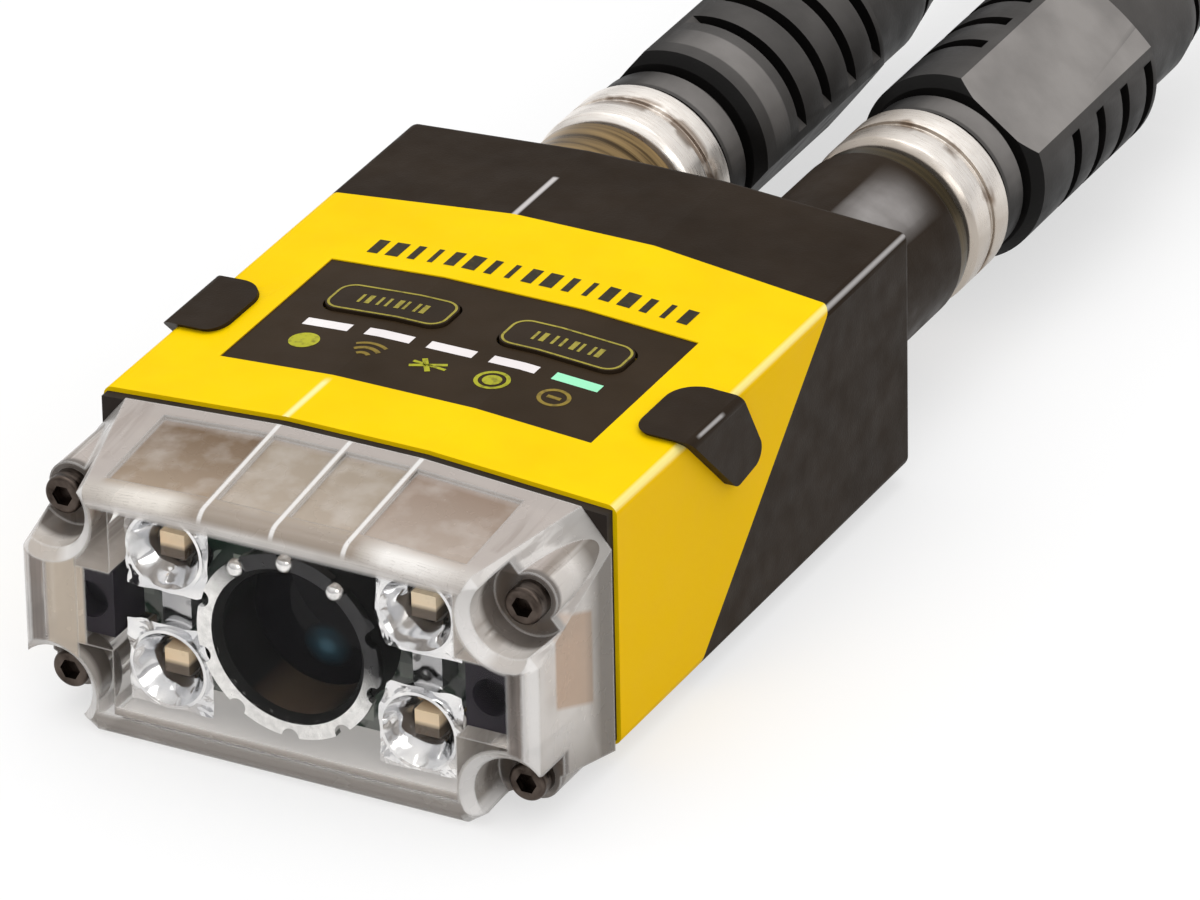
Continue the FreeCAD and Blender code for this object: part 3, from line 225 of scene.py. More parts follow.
def retone(material, factor, colour):
    """Lays a colour over a material's own by a factor."""
    tree = material.node_tree
    base = tree.nodes["Principled BSDF"].inputs["Base Color"]
    under = base.links[0].from_socket
    feed(tree, base, blend(tree, factor, under, colour))


def metal(name, dark, light, rough, lines, stretch, depth, **values):
    """Turned or drawn metal: tone and gloss follow fine lines."""
    material, tree, shader = new_material(name, metallic=1.0, **values)
    tracks = noise(tree, lines, 3.0, stretch)
    feed(tree, shader.inputs["Base Color"], blend(tree, ramp(tree, tracks, 0.3, 0.7), dark, light))
    feed(tree, shader.inputs["Roughness"], ramp(tree, tracks, 0.3, 0.7, *rough))
    bump(tree, shader, tracks, depth)
    return material


MATERIALS = {}

# Housing plastics: grained shells, with painted highlights along the left roof crease and the right roof
# edge
RIDGE = 5.9 * MM
CREASE_HALF = 0.12 * MM
FRONT_STRIP = -21.4 * MM
REAR_CREASE = 10.4 * MM
REAR_CREASE_HALF = 3.4 * MM
CAP_MIDDLE = -14.6 * MM
CAPS_END = -8.4 * MM
BODY_END = 19.6 * MM
COLLAR_NEAR = 20.0 * MM
COLLAR_FAR = 34.5 * MM
COLLAR_HIGHLIGHT_ANGLE = 33


def slant(tree, degrees):
    """How far the surface faces a way that leans from up to the right by an angle."""
    way = facing(tree)
    lean = math.radians(degrees)
    across = product(tree, way["X"], math.sin(lean))
    return maths(tree, "ADD", across, product(tree, way["Z"], math.cos(lean)))


def right_edge_highlight(tree, start, end):
    """A mask on roundings that face up and to the right, where a painted highlight goes."""
    way = facing(tree)
    return ramp(tree, maths(tree, "MINIMUM", way["X"], way["Z"]), start, end)


def yellow_shell():
    """Yellow moulding, its right side toned deeper as painted shade, with painted highlights along the left
    roof crease and the right roof edge.
    """
    material = moulded(
        "yellow_shell", (0.90, 0.585, 0.0005), (0.95, 0.645, 0.0008), (0.40, 0.52), 5200.0, 0.010 * MM,
        specular_ior_level=0.03,
    )
    tree = material.node_tree
    place = coords(tree)
    roof = ramp(tree, facing(tree)["Z"], 0.8, 0.9)
    side = ramp(tree, facing(tree)["X"], 0.8, 0.95)
    # Painted shade: faces turned to the right are toned a deeper orange.
    retone(material, side, (1.0, 0.60, 0.002))
    front_strip = ramp(tree, place["Y"], FRONT_STRIP, FRONT_STRIP - 1.0 * MM)
    # Painted highlight along the left roof crease on the front strip.
    crease = product(tree, near(tree, place["X"], -RIDGE, CREASE_HALF, 0.25 * MM), front_strip, roof)
    retone(material, crease, (1.0, 0.86, 0.36))
    # Painted highlight on the rounding along the right roof edge.
    retone(material, product(tree, right_edge_highlight(tree, 0.25, 0.55), 0.8), (1.0, 0.88, 0.34))
    return material


def black_shell():
    """Black moulding, with painted highlights along the left roof crease and the right roof edge, and a soft
    painted highlight streak along each collar.
    """
    material = moulded(
        "black_shell", (0.019, 0.0115, 0.0060), (0.027, 0.0175, 0.0105), (0.40, 0.55), 5200.0, 0.012 * MM,
        specular_ior_level=0.06,
    )
    tree = material.node_tree
    place = coords(tree)
    roof = ramp(tree, facing(tree)["Z"], 0.8, 0.9)
    # Painted highlight along the left roof crease on the rear top.
    strip = near(tree, place["Y"], REAR_CREASE, REAR_CREASE_HALF, 0.3 * MM)
    crease = product(tree, near(tree, place["X"], -RIDGE, CREASE_HALF, 0.2 * MM), strip, roof)
    retone(material, crease, (0.56, 0.53, 0.52))
    # Painted highlight on the right edge's rounding: on the body, behind the caps and across the caps'
    # middles.
    body = ramp(tree, place["Y"], BODY_END, BODY_END + 0.1 * MM, 0.75, 0.0)
    behind_caps = ramp(tree, place["Y"], CAPS_END, CAPS_END + 0.4 * MM)
    cap_middle = near(tree, place["Y"], CAP_MIDDLE, 1.6 * MM, 0.6 * MM)
    lit = product(tree, right_edge_highlight(tree, 0.45, 0.65), body, largest(tree, behind_caps, cap_middle))
    retone(material, lit, (0.50, 0.48, 0.47))
    # Painted highlight: a soft streak along each collar where it faces up and to the right, broken up by
    # noise.
    collar = product(
        tree,
        ramp(tree, place["Y"], COLLAR_FAR, COLLAR_FAR - 5.0 * MM),
        ramp(tree, place["Y"], COLLAR_NEAR, COLLAR_NEAR + 7.0 * MM),
    )
    broken = ramp(tree, noise(tree, 260.0, 3.0), 0.35, 0.6, 0.65, 0.95)
    collar_highlight = product(tree, ramp(tree, slant(tree, COLLAR_HIGHLIGHT_ANGLE), 0.90, 0.995), collar, broken)
    retone(material, collar_highlight, (0.36, 0.34, 0.33))
    return material


MATERIALS["yellow_shell"] = yellow_shell()
MATERIALS["black_shell"] = black_shell()
MATERIALS["seal"] = moulded(
    "seal", (0.012, 0.009, 0.008), (0.026, 0.019, 0.015), (0.55, 0.75), 3000.0, 0.01 * MM,
    specular_ior_level=0.2,
)

# Clear cover: polished over the optics, frosted by its mouldings elsewhere
SCREW_ACROSS = 18.9 * MM
SCREW_LOW = 3.1 * MM
SCREW_HIGH = 17.6 * MM
RECESS_RADIUS = 3.1 * MM
FLARE_RADIUS = 3.9 * MM
SEAT_RADIUS = 2.3 * MM
RECESS_FLOOR = -36.8 * MM
WINDOW_FRONT = -41.3 * MM
CROWN = 18.9 * MM
FLOOR_TOP = 1.7 * MM
SIDE_LOW = 2.5 * MM
SIDE_BACK = -31.0 * MM
WING_MIDDLE = -17.6 * MM
PANES_MIDDLE = -35.2 * MM
PANES_HALF = 4.2 * MM
PANES_EDGE = 15.0 * MM
POCKET_ALONG = -35.0 * MM
POCKET_HEIGHT = 13.2 * MM
POCKET_FOOT = -37.7 * MM
POCKET_LEAN = 0.4
BROW_LEFT = (0.84, 0.79, 0.72)
BROW_RIGHT = (0.94, 0.91, 0.87)
BROW_FAR = (0.42, 0.37, 0.33)
BROW_MIDDLE = (0.37, 0.31, 0.255)
FROST_PALE = (0.80, 0.76, 0.72)
FROST_DEEP = (0.30, 0.255, 0.22)
POCKET_WARM = (0.54, 0.39, 0.285)
WING_BEIGE = (0.63, 0.54, 0.44)
FOOT_BROWN = (0.16, 0.135, 0.11)
RECESS_SHADE = (0.17, 0.15, 0.135)
BORDER_GREY = (0.46, 0.40, 0.365)
RIM_LEFT = (0.25, 0.22, 0.20)
RIM_RIGHT = (0.13, 0.11, 0.095)
LIP_GREY = (0.36, 0.325, 0.295)
EDGE_BROWN = (0.15, 0.115, 0.09)
EDGE_PALE = (0.95, 0.93, 0.91)


def let_lamps_through(tree, shader, colour):
    """Shadow rays pass straight through a clear part."""
    through = add(tree, "BsdfTransparent", {"Color": (*colour, 1)})
    mix = add(tree, "MixShader")
    feed(tree, mix.inputs["Fac"], add(tree, "LightPath").outputs["Is Shadow Ray"])
    feed(tree, mix.inputs[1], shader.outputs[0])
    feed(tree, mix.inputs[2], through.outputs[0])
    feed(tree, tree.nodes["Material Output"].inputs["Surface"], mix.outputs[0])


def roof_tone(tree, place, wide):
    """Colour of the four roof panes: browner to the left and the back."""
    fade = ramp(tree, place["Y"], PANES_MIDDLE + 4.6 * MM, PANES_MIDDLE - 3.4 * MM)
    left = blend(tree, fade, (0.17, 0.105, 0.055), (0.38, 0.29, 0.21))
    right = blend(tree, fade, (0.30, 0.215, 0.16), (0.47, 0.39, 0.33))
    outer = blend(tree, ramp(tree, place["X"], -6 * MM, 6 * MM), left, right)
    middle = blend(tree, fade, (0.37, 0.305, 0.235), (0.46, 0.385, 0.31))
    tone = blend(tree, ramp(tree, wide, RIDGE - 0.1 * MM, RIDGE + 0.2 * MM), middle, outer)
    clouds = ramp(tree, noise(tree, 420.0, 4.0), 0.45, 0.75, 0.0, 0.30)
    return blend(tree, clouds, tone, FROST_PALE)


def clear_cover():
    """Clear plastic over the optics; its roof, sides, rims and recesses are frosted and toned, with painted
    highlights on its edges, brow and rib lines and painted shade in its recesses.
    """
    material, tree, shader = new_material("clear_cover", ior=1.12, coat_roughness=0.2)
    place = coords(tree)
    way = facing(tree)
    wide = maths(tree, "ABSOLUTE", place["X"])
    upward = ramp(tree, way["Z"], 0.25, 0.6)
    up = product(tree, upward, ramp(tree, place["Z"], 9 * MM, 11 * MM))
    crown = ramp(tree, place["Z"], CROWN, CROWN + 0.4 * MM)
    outward = maths(tree, "MULTIPLY", way["X"], maths(tree, "SIGN", place["X"]))
    side = ramp(tree, outward, 0.25, 0.6)
    low = ramp(tree, place["Z"], FLOOR_TOP + 0.5 * MM, FLOOR_TOP)
    inner_floor = product(tree, upward, low)
    below = product(tree, ramp(tree, way["Z"], -0.25, -0.6), low)
    front = ramp(tree, way["Y"], -0.7, -0.95)
    gap = axis_gap(tree, place, SCREW_ACROSS, (SCREW_LOW, SCREW_HIGH))
    mouth = product(
        tree,
        ramp(tree, gap, FLARE_RADIUS, FLARE_RADIUS + 0.3 * MM, 1.0, 0.0),
        ramp(tree, gap, RECESS_RADIUS - 0.1 * MM, RECESS_RADIUS + 0.2 * MM, 0.6, 1.0),
    )
    hollow = product(
        tree,
        ramp(tree, gap, RECESS_RADIUS + 0.2 * MM, RECESS_RADIUS),
        ramp(tree, place["Y"], RECESS_FLOOR + 0.8 * MM, RECESS_FLOOR + 0.4 * MM),
        ramp(tree, place["Y"], WINDOW_FRONT + 2.0 * MM, WINDOW_FRONT + 2.8 * MM),
    )
    lip = product(tree, front, low)
    rims = product(tree, front, ramp(tree, wide, SCREW_ACROSS, SCREW_ACROSS + 0.4 * MM))
    wing = product(tree, front, near(tree, place["X"], WING_MIDDLE, 1.1 * MM, 0.3 * MM))
    floors = product(tree, largest(tree, inner_floor, below), 0.35)
    frost = largest(tree, up, side, floors, mouth, lip, rims, wing, crown)

    lines = ramp(tree, noise(tree, 1300.0, 2.0, (1.0, 0.04, 1.0)), 0.56, 0.44)
    corner = product(
        tree,
        ramp(tree, gap, FLARE_RADIUS + 0.9 * MM, FLARE_RADIUS + 0.3 * MM),
        ramp(tree, place["Y"], RECESS_FLOOR - 0.2 * MM, RECESS_FLOOR + 0.2 * MM),
        upward,
    )
    shade = product(tree, largest(tree, maths(tree, "MINIMUM", up, side), corner), lines, 0.85)
    even = ramp(tree, noise(tree, 240.0, 3.0), 0.3, 0.7, 0.70, 1.0)
    tone = blend(tree, maths(tree, "SUBTRACT", even, shade), FROST_DEEP, FROST_PALE)
    length = near(tree, place["Y"], PANES_MIDDLE, PANES_HALF, 1.0 * MM)
    roof = product(tree, upward, crown, length, ramp(tree, wide, PANES_EDGE, PANES_EDGE - 0.5 * MM))
    border = product(tree, upward, crown, ramp(tree, outward, 0.25, 0.12), 0.8)
    tone = blend(tree, border, tone, BORDER_GREY)
    tone = blend(tree, roof, tone, roof_tone(tree, place, wide))
    # Painted highlights on the brow's rounding at its left and right, browner in the middle and at the far
    # ends.
    brow = product(tree, ramp(tree, place["Y"], WINDOW_FRONT + 2.5 * MM, WINDOW_FRONT + 1.1 * MM), up)
    brow_end = blend(tree, ramp(tree, place["X"], -6 * MM, 6 * MM), BROW_LEFT, BROW_RIGHT)
    brow_end = blend(tree, ramp(tree, wide, 11.5 * MM, 15.0 * MM, 0.0, 0.6), brow_end, BROW_FAR)
    brow_tone = blend(tree, ramp(tree, wide, 6.5 * MM, 9.0 * MM), BROW_MIDDLE, brow_end)
    tone = blend(tree, brow, tone, brow_tone)
    # Painted highlights along the roof's rib lines, at the middle and at each ridge.
    ribs = largest(tree, *[near(tree, wide, rib, CREASE_HALF, 0.12 * MM) for rib in (0.0, RIDGE)])
    tone = blend(tree, product(tree, ribs, up, 0.9), tone, EDGE_PALE)
    beside = near(tree, place["Y"], POCKET_ALONG, 2.6 * MM, 0.4 * MM)
    behind = maths(tree, "SUBTRACT", place["Y"], POCKET_FOOT)
    leaning = maths(tree, "ADD", place["Z"], product(tree, behind, POCKET_LEAN))
    pocket = product(tree, side, beside, near(tree, leaning, POCKET_HEIGHT, 3.6 * MM, 0.4 * MM))
    tone = blend(tree, pocket, tone, POCKET_WARM)
    tone = blend(tree, wing, tone, WING_BEIGE)
    rim_tone = blend(tree, ramp(tree, place["X"], -1 * MM, 1 * MM), RIM_LEFT, RIM_RIGHT)
    strands = ramp(tree, noise(tree, 1500.0, 2.0, (1.0, 1.0, 0.05)), 0.35, 0.65, 0.0, 0.45)
    rim_tone = blend(tree, strands, rim_tone, BORDER_GREY)
    tone = blend(tree, rims, tone, rim_tone)
    low_side = product(tree, side, ramp(tree, place["Z"], SIDE_LOW + 4.5 * MM, SIDE_LOW), 0.7)
    foot = product(tree, side, ramp(tree, place["Y"], SIDE_BACK - 2.4 * MM, SIDE_BACK), 0.9)
    tone = blend(tree, largest(tree, foot, low_side), tone, FOOT_BROWN)
    # Painted shade inside the screw recesses.
    tone = blend(tree, hollow, tone, RECESS_SHADE)
    tone = blend(tree, largest(tree, lip, below), tone, LIP_GREY)
    tone = blend(tree, inner_floor, tone, EDGE_PALE)
    seat = near(tree, gap, SEAT_RADIUS, 0.2 * MM, 0.4 * MM)
    tone = blend(tree, product(tree, seat, front, 0.6), tone, EDGE_BROWN)

    round_edge = add(tree, "Bevel", {"Radius": 0.3 * MM}, samples=4)
    turn = add(tree, "VectorMath", operation="DOT_PRODUCT")
    feed(tree, turn.inputs[0], round_edge.outputs[0])
    feed(tree, turn.inputs[1], add(tree, "NewGeometry").outputs["True Normal"])
    # Painted highlights on the rounded edges and on the roundings from the front to the sides, with a thin
    # painted shade line at their inner border.
    strength = ramp(tree, largest(tree, roof, lip), 0.0, 1.0, 0.75, 0.25)
    turned_edge = product(tree, ramp(tree, outward, 0.15, 0.35), ramp(tree, way["Y"], -0.15, -0.35), 0.8)
    edges = product(tree, ramp(tree, turn.outputs["Value"], 0.985, 0.90), strength)
    edges = largest(tree, edges, turned_edge)
    outline = near(tree, turn.outputs["Value"], 0.978, 0.010, 0.008)
    tone = blend(tree, product(tree, outline, 0.7), tone, EDGE_BROWN)
    tone = blend(tree, edges, tone, EDGE_PALE)
    frost = largest(tree, product(tree, frost, 0.84), product(tree, edges, 0.8))
    feed(tree, shader.inputs["Normal"], round_edge.outputs[0])
    clear_share = ramp(tree, frost, 0.0, 0.5)
    feed(tree, shader.inputs["Base Color"], blend(tree, clear_share, (0.97, 0.96, 0.95), tone))
    feed(tree, shader.inputs["Transmission Weight"], ramp(tree, frost, 0.0, 1.0, 1.0, 0.0))
    feed(tree, shader.inputs["Coat Weight"], ramp(tree, frost, 0.0, 1.0, 0.0, 0.5))
    haze = product(tree, noise(tree, 300.0, 3.0), 0.04)
    feed(tree, shader.inputs["Roughness"], maths(tree, "ADD", ramp(tree, frost, 0.0, 1.0, 0.0, 0.30), haze))
    let_lamps_through(tree, shader, (0.92, 0.90, 0.88))
    return material


MATERIALS["clear_cover"] = clear_cover()

# Lens: dark coated glass with a painted cool glint
LENS_GLINT = (0.9 * MM, -35.0 * MM, 8.2 * MM)


def lens_glass():
    """Nearly black glass, with a painted glint low and to the right."""
    material, tree, shader = new_material("lens_glass", roughness=0.04, specular_ior_level=0.05, ior=1.6)
    # Painted glint on the glass: a cool spot low and to the right, with a brighter core.
    gap = distance(tree, place_of(tree), LENS_GLINT)
    glint = ramp(tree, gap, 2.0 * MM, 0.2 * MM)
    uneven = product(tree, glint, ramp(tree, noise(tree, 700.0), 0.3, 0.7, 0.5, 1.0))
    tone = blend(tree, uneven, (0.002, 0.002, 0.003), (0.024, 0.072, 0.100))
    core = ramp(tree, gap, 0.9 * MM, 0.2 * MM, 0.0, 0.8)
    feed(tree, shader.inputs["Base Color"], blend(tree, core, tone, (0.060, 0.135, 0.180)))
    return material


MATERIALS["lens_glass"] = lens_glass()

# Clear plug at the network cord's end
BOOT_FRONT = 160.4 * MM


def clear_plug():
    """Clear moulding with an opaque boot behind it."""
    material, tree, shader = new_material("clear_plug", ior=1.49)
    boot = ramp(tree, coords(tree)["Y"], BOOT_FRONT, BOOT_FRONT + 0.2 * MM)
    feed(tree, shader.inputs["Base Color"], blend(tree, boot, (0.86, 0.88, 0.89), (0.014, 0.013, 0.013)))
    feed(tree, shader.inputs["Transmission Weight"], maths(tree, "SUBTRACT", 1.0, boot))
    feed(tree, shader.inputs["Roughness"], ramp(tree, noise(tree, 400.0, 3.0), 0.3, 0.7, 0.06, 0.2))
    return material


MATERIALS["clear_plug"] = clear_plug()

# Metals
MATERIALS["screw_steel"] = metal(
    "screw_steel", (0.035, 0.026, 0.021), (0.12, 0.095, 0.08), (0.25, 0.45), 900.0, (1, 4, 1), 0.01 * MM
)
MATERIALS["insert_brass"] = metal(
    "insert_brass", (0.62, 0.43, 0.16), (0.78, 0.58, 0.26), (0.25, 0.4), 900.0, (1, 1, 6), 0.008 * MM
)
MATERIALS["contact_gold"] = metal(
    "contact_gold", (0.80, 0.55, 0.18), (0.92, 0.70, 0.32), (0.12, 0.25), 900.0, (1, 6, 1), 0.004 * MM
)

NUT_MIDDLES = (34.95 * MM, 40.55 * MM)
NUT_BRIGHT = 36


def socket_brass():
    """Aged brass, golden; on the network side it is darkened as painted shade."""
    material = metal(
        "socket_brass", (0.05, 0.03, 0.012), (0.46, 0.31, 0.14), (0.22, 0.38), 420.0, (0.2, 4, 0.2),
        0.012 * MM,
    )
    tree = material.node_tree
    # Painted shade: the network side's brass is darkened.
    retone(material, ramp(tree, coords(tree)["X"], -1 * MM, 1 * MM, 0.0, 0.85), (0.035, 0.028, 0.014))
    return material


def nut_nickel():
    """Nickel plate, rubbed brown in places along the groove; the network nut is painted darker as shade,
    away from the way its highlight faces.
    """
    material = metal(
        "nut_nickel", (0.88, 0.81, 0.74), (1.0, 0.95, 0.89), (0.24, 0.40), 700.0, (1, 10, 1), 0.006 * MM
    )
    tree = material.node_tree
    tree.nodes["Principled BSDF"].inputs["Metallic"].default_value = 0.75
    along = coords(tree)["Y"]
    groove = largest(tree, *[near(tree, along, middle, 0.7 * MM, 0.5 * MM) for middle in NUT_MIDDLES])
    worn = ramp(tree, noise(tree, 300.0, 3.0), 0.53, 0.62, 0.0, 0.75)
    # Painted shade on the network nut: darker and warmer the more the surface turns from the lit way.
    nut_shade = product(
        tree,
        ramp(tree, slant(tree, NUT_BRIGHT), 0.97, 0.60, 0.0, 0.75),
        ramp(tree, coords(tree)["X"], -0.1 * MM, 0.1 * MM),
    )
    retone(material, nut_shade, (0.36, 0.30, 0.24))
    retone(material, product(tree, groove, worn), (0.20, 0.13, 0.08))
    return material


MATERIALS["nut_nickel"] = nut_nickel()
MATERIALS["socket_brass"] = socket_brass()

# Places of the lens and the lamp bowls, in millimetres and in metres
LENS_AXIS = 10.1
LAMP_X = 10.35
LAMP_Z = (5.4, 15.1)
BOWL_RADIUS = 3.2
WEB_FRONT = -36.8 * MM
LENS_HEIGHT = LENS_AXIS * MM
BOWL_ACROSS = LAMP_X * MM
BOWL_HEIGHTS = (LAMP_Z[0] * MM, LAMP_Z[1] * MM)
BOWL_REACH = BOWL_RADIUS * MM


def ring_silver():
    """Turned ring, bright below and dark under the hood's roof."""
    material = metal(
        "ring_silver", (0.72, 0.72, 0.71), (0.92, 0.92, 0.91), (0.14, 0.28), 1400.0, (1, 8, 1), 0.006 * MM
    )
    tree = material.node_tree
    place = coords(tree)
    tilt = maths(tree, "ADD", place["Z"], product(tree, place["X"], 0.55))
    shaded = ramp(tree, tilt, LENS_HEIGHT - 0.5 * MM, LENS_HEIGHT + 3.5 * MM, 0.0, 0.97)
    retone(material, shaded, (0.02, 0.02, 0.022))
    return material


def reflector_silver():
    """Plated bowls with broad hammered facets, with painted shade on the web between them."""
    material, tree, shader = new_material("reflector_silver", metallic=1.0)
    cells = add(tree, "TexVoronoi", {"Scale": 620.0}, feature="SMOOTH_F1")
    feed(tree, cells.inputs["Vector"], place_of(tree))
    facets = cells.outputs["Distance"]
    bump(tree, shader, facets, 0.35 * MM)
    tone = blend(tree, ramp(tree, facets, 0.1, 0.7), (0.95, 0.95, 0.95), (0.72, 0.73, 0.75))
    place = coords(tree)
    gap = axis_gap(tree, place, BOWL_ACROSS, BOWL_HEIGHTS)
    beyond = ramp(tree, gap, BOWL_REACH, BOWL_REACH + 0.2 * MM)
    # Painted shade on the web behind the bowls' fronts, between the bowls.
    web = product(tree, ramp(tree, place["Y"], WEB_FRONT - 0.5 * MM, WEB_FRONT), beyond)
    feed(tree, shader.inputs["Base Color"], blend(tree, product(tree, web, 0.7), tone, (0.06, 0.06, 0.065)))
    feed(tree, shader.inputs["Roughness"], ramp(tree, noise(tree, 900.0), 0.3, 0.7, 0.06, 0.2))
    return material


MATERIALS["ring_silver"] = ring_silver()
MATERIALS["reflector_silver"] = reflector_silver()

# Panel films and light windows
MATERIALS["overlay"] = moulded(
    "overlay", (0.026, 0.015, 0.006), (0.035, 0.021, 0.010), (0.32, 0.44), 6000.0, 0.005 * MM,
    specular_ior_level=0.06,
)
MATERIALS["key_film"] = moulded(
    "key_film", (0.024, 0.015, 0.008), (0.033, 0.021, 0.012), (0.32, 0.44), 6000.0, 0.005 * MM,
    specular_ior_level=0.06,
)
MATERIALS["light_window"] = moulded(
    "light_window", (0.80, 0.74, 0.74), (0.92, 0.87, 0.86), (0.25, 0.35), 3000.0, 0.004 * MM
)
MATERIALS["lit_window"] = moulded(
    "lit_window", (0.24, 0.72, 0.42), (0.36, 0.86, 0.56), (0.25, 0.35), 3000.0, 0.004 * MM,
    emission_color=(0.30, 0.85, 0.50, 1), emission_strength=0.10,
)


# Electronics and inner frame
def lamp_chip():
    """Ceramic lamp packages, warm on top and shaded below."""
    material = moulded("lamp_chip", (0.82, 0.58, 0.34), (0.94, 0.80, 0.58), (0.25, 0.4), 2500.0, 0.01 * MM)
    tree = material.node_tree
    high = coords(tree)["Z"]
    undersides = [near(tree, high, height - 0.8 * MM, 0.5 * MM, 0.4 * MM) for height in BOWL_HEIGHTS]
    retone(material, product(tree, largest(tree, *undersides), 0.93), (0.05, 0.032, 0.022))
    return material


def board_green():
    """Solder mask with pale pads, paler patches of painted light low down and a white patch round each lamp.
    """
    material = moulded(
        "board_green", (0.004, 0.022, 0.012), (0.012, 0.052, 0.028), (0.3, 0.45), 1600.0, 0.012 * MM
    )
    tree = material.node_tree
    cells = add(tree, "TexVoronoi", {"Scale": 420.0}, distance="CHEBYCHEV")
    feed(tree, cells.inputs["Vector"], place_of(tree))
    retone(material, ramp(tree, cells.outputs["Distance"], 0.28, 0.24), (0.50, 0.58, 0.50))
    # Painted light: paler patches low down on the board.
    low = ramp(tree, coords(tree)["Z"], 12.0 * MM, 10.5 * MM)
    patches = ramp(tree, noise(tree, 520.0), 0.40, 0.50, 0.0, 0.75)
    retone(material, product(tree, low, patches), (0.42, 0.44, 0.42))
    gap = axis_gap(tree, coords(tree), BOWL_ACROSS, BOWL_HEIGHTS)
    retone(material, ramp(tree, gap, BOWL_REACH, BOWL_REACH - 0.2 * MM), (0.70, 0.66, 0.60))
    return material


def barrel_black():
    """Blackened barrel with a painted warm reflection low inside."""
    material = moulded(
        "barrel_black", (0.003, 0.003, 0.003), (0.006, 0.006, 0.006), (0.35, 0.5), 5000.0, 0.006 * MM,
        specular_ior_level=0.07,
    )
    tree = material.node_tree
    # Painted reflection of the floor: a warm tone on the upward faces low inside.
    bottom = ramp(tree, coords(tree)["Z"], 5.6 * MM, 4.6 * MM)
    floor_reflection = product(tree, bottom, ramp(tree, facing(tree)["Z"], 0.3, 0.8))
    retone(material, product(tree, floor_reflection, 0.8), (0.10, 0.072, 0.05))
    return material


MATERIALS["lamp_chip"] = lamp_chip()
MATERIALS["board_green"] = board_green()
MATERIALS["barrel_black"] = barrel_black()
MATERIALS["inner_frame"] = moulded(
    "inner_frame", (0.34, 0.29, 0.23), (0.50, 0.44, 0.36), (0.5, 0.65), 3600.0, 0.01 * MM
)
MATERIALS["chip_black"] = moulded(
    "chip_black", (0.008, 0.006, 0.011), (0.016, 0.012, 0.019), (0.30, 0.5), 4000.0, 0.006 * MM,
    specular_ior_level=0.2,
)
MATERIALS["insulator"] = moulded(
    "insulator", (0.016, 0.016, 0.017), (0.026, 0.026, 0.027), (0.4, 0.55), 4000.0, 0.006 * MM
)


# Plugs and cords
GRIP_TURN = 37
GRIP_FLAT = 6.7 * MM
PLUG_AXIS = (10.6 * MM, 10.8 * MM)
RING_MIDDLES = (40.0 * MM, 45.6 * MM)


def plug_body():
    """Overmoulded rubber, with painted highlights on the flat that is turned up, the front ring and the
    ribs' crests.
    """
    material = moulded(
        "plug_body", (0.0040, 0.0036, 0.0034), (0.0080, 0.0074, 0.0070), (0.40, 0.55), 3600.0, 0.014 * MM,
        specular_ior_level=0.10,
    )
    tree = material.node_tree
    place = coords(tree)
    # Painted highlights on faces turned up and to the right: the flat, the ribs' crests and the rings,
    # broken up by noise.
    patches = ramp(tree, noise(tree, 160.0, 4.0), 0.3, 0.7, 0.65, 1.0)
    toward = slant(tree, GRIP_TURN)
    lean = math.radians(GRIP_TURN)
    across = product(tree, maths(tree, "SUBTRACT", place["X"], PLUG_AXIS[0]), math.sin(lean))
    rise = product(tree, maths(tree, "SUBTRACT", place["Z"], PLUG_AXIS[1]), math.cos(lean))
    plane = near(tree, maths(tree, "ADD", across, rise), GRIP_FLAT, 0.03 * MM, 0.03 * MM)
    flats = product(tree, ramp(tree, toward, 0.985, 0.999, 0.0, 0.9), plane)
    upright = ramp(tree, maths(tree, "ABSOLUTE", facing(tree)["Y"]), 0.2, 0.6, 1.0, 0.0)
    crests = product(tree, ramp(tree, toward, 0.35, 1.0, 0.0, 0.30), upright)
    rings = largest(tree, *[near(tree, place["Y"], middle, 1.2 * MM, 0.3 * MM) for middle in RING_MIDDLES])
    rings = product(tree, rings, ramp(tree, toward, 0.55, 1.0, 0.0, 0.75), upright)
    retone(material, product(tree, largest(tree, flats, crests, rings), patches), (0.32, 0.30, 0.285))
    return material


MATERIALS["plug_body"] = plug_body()
MATERIALS["cord_jacket"] = moulded(
    "cord_jacket", (0.014, 0.013, 0.013), (0.022, 0.021, 0.020), (0.40, 0.55), 2600.0, 0.012 * MM
)
CORE_COLOURS = (
    (0.16, 0.07, 0.03),
    (0.80, 0.79, 0.76),
    (0.03, 0.09, 0.34),
    (0.02, 0.02, 0.02),
    (0.28, 0.28, 0.28),
)
CORES_AXIS = (-12.0 * MM, 3.0 * MM)
CORES_BARE = 191.0 * MM


def core_jacket():
    """Five insulated cores, a colour each, with stripped copper ends."""
    material, tree, shader = new_material("core_jacket", roughness=0.35)
    place = coords(tree)
    across = maths(tree, "SUBTRACT", place["X"], CORES_AXIS[0])
    rise = maths(tree, "SUBTRACT", place["Z"], CORES_AXIS[1])
    turn = maths(tree, "ARCTAN2", rise, across)
    wheel = add(tree, "ValToRGB")
    wheel.color_ramp.interpolation = "CONSTANT"
    stops = wheel.color_ramp.elements
    while len(stops) < len(CORE_COLOURS):
        stops.new(1.0)
    for number, colour in enumerate(CORE_COLOURS):
        stops[number].position = number / len(CORE_COLOURS)
        stops[number].color = (*colour, 1)
    half_share = math.pi / len(CORE_COLOURS)
    share = ramp(tree, turn, -math.pi - half_share, math.pi - half_share)
    feed(tree, wheel.inputs["Fac"], maths(tree, "FRACT", share))
    bare = ramp(tree, place["Y"], CORES_BARE, CORES_BARE + 0.1 * MM)
    feed(tree, shader.inputs["Base Color"], blend(tree, bare, wheel.outputs["Color"], (0.78, 0.40, 0.22)))
    feed(tree, shader.inputs["Metallic"], bare)
    bump(tree, shader, noise(tree, 2600.0), 0.006 * MM)
    return material


